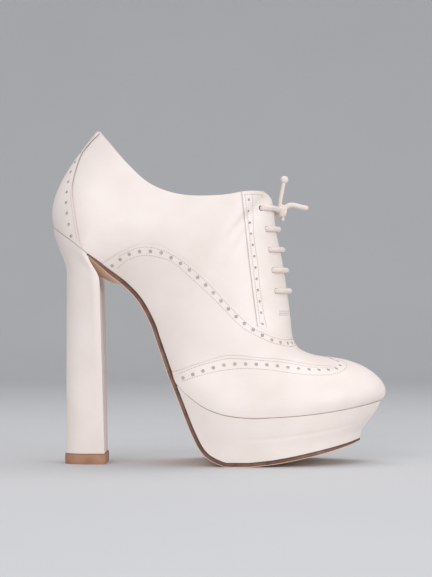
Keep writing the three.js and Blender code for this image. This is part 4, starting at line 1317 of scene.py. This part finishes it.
def sockLayers():
    t = steps((0, 3, 25), (3, 20, 90), (20, 21, 13))
    edges = []
    for side in (-1.0, 1.0):
        way = outward(t, np.clip(halfShare(between(t), side), 0, 1), side, breastStation)
        edges.append(footPoint(t, side) - way * sock["inset"])
    outer, inner = edges
    floor = outer[:, None, :] + (inner - outer)[:, None, :] * ((acrossFine + 1) / 2)[None, :, None]
    x, table = floor[..., 0], np.linspace(0, 21, 1200)
    stationOf = np.interp(x, between(table)[:, along] * shoe["length"], table)
    flat = bottomPoint(stationOf, np.ones_like(x))
    middle = (outer[:, 1] + inner[:, 1])[:, None] / 2
    half = np.maximum((flat[..., 1] - middle), 1)
    drop = between(stationOf)[..., dome] * shoe["heelWidth"] / 2
    floor[..., 2] = flat[..., 2] - drop * np.clip(1 - ((floor[..., 1] - middle) / half) ** 2, 0, 1)
    way = -bottomNormal(stationOf)
    ends = smooth(t, 0, 0.3) * (1 - smooth(t, 20.6, 21))
    rim = (ends[:, None] * (1 - np.abs(acrossFine) ** 10)[None, :])[..., None]
    return [floor + way * (sock["thickness"] + sock["dome"] * rim), floor + way * sock["seat"]]


sockPiece = slab("sock", sockLayers(), "lining_leather", ("liningLeather",), 40)
carry(sockPiece, "insole")
print("sole, platform, heel and sock made")


# Floor, light and surroundings, in metres
studio = {"floorDark": (0.60, 0.60, 0.605), "floorLight": (0.63, 0.63, 0.635), "sky": (0.93, 0.95, 1.0, 1),
          "skyPower": 0.6, "bend": 0.9, "bendStart": 1.3, "front": -2.5, "top": 3.2, "halfWidth": 4}


def floorMaterial():
    material, tree, shader = startMaterial("paleFloor")
    place = tree.nodes.new("ShaderNodeTexCoord").outputs["Object"]
    noise = addNode(tree, "ShaderNodeTexNoise", {"Vector": place, "Scale": 6}).outputs["Fac"]
    colour = addRamp(tree, noise, studio["floorDark"], studio["floorLight"])
    feed(tree, shader, {"Base Color": colour, "Roughness": 0.8})
    return material


def makeFloor():
    bend, start, half = studio["bend"], studio["bendStart"], studio["halfWidth"]
    turn = [(start + bend * math.sin(a), bend - bend * math.cos(a)) for a in np.linspace(0, math.pi / 2, 20)]
    line = [(studio["front"], 0.0), *turn, (start + bend, studio["top"])]
    mesh = bpy.data.meshes.new("floor")
    mesh.from_pydata([(x, y, z) for y, z in line for x in (-half, half)], [],
                     [(2 * k, 2 * k + 1, 2 * k + 3, 2 * k + 2) for k in range(len(line) - 1)])
    shadeSmooth(mesh)
    mesh.materials.append(floorMaterial())
    return addObject("floor", mesh)


floorPiece = makeFloor()

world = bpy.data.worlds.new("studio")
bpy.context.scene.world = world
world.use_nodes = True
sky = world.node_tree.nodes["Background"]
feed(world.node_tree, sky, {"Color": studio["sky"], "Strength": studio["skyPower"]})
bpy.context.scene.view_settings.view_transform = "Standard"


def areaLight(name, place, target, size, power):
    light = bpy.data.lights.new(name, "AREA")
    light.shape = "RECTANGLE"
    light.size, light.size_y = size
    light.energy = power
    lamp = addObject(name, light)
    lamp.location = place
    lamp.rotation_euler = (Vector(target) - Vector(place)).to_track_quat("-Z", "Y").to_euler()


areaLight("key", (-0.5, -1.15, 0.7), (0, 0, 0.08), (0.9, 0.7), 5.6)
areaLight("fill", (0.95, -0.75, 0.3), (0, 0, 0.08), (0.8, 0.8), 5.8)
areaLight("top", (0.1, 0.25, 1.1), (0, 0, 0.1), (0.9, 0.6), 3.9)
print("stage made")
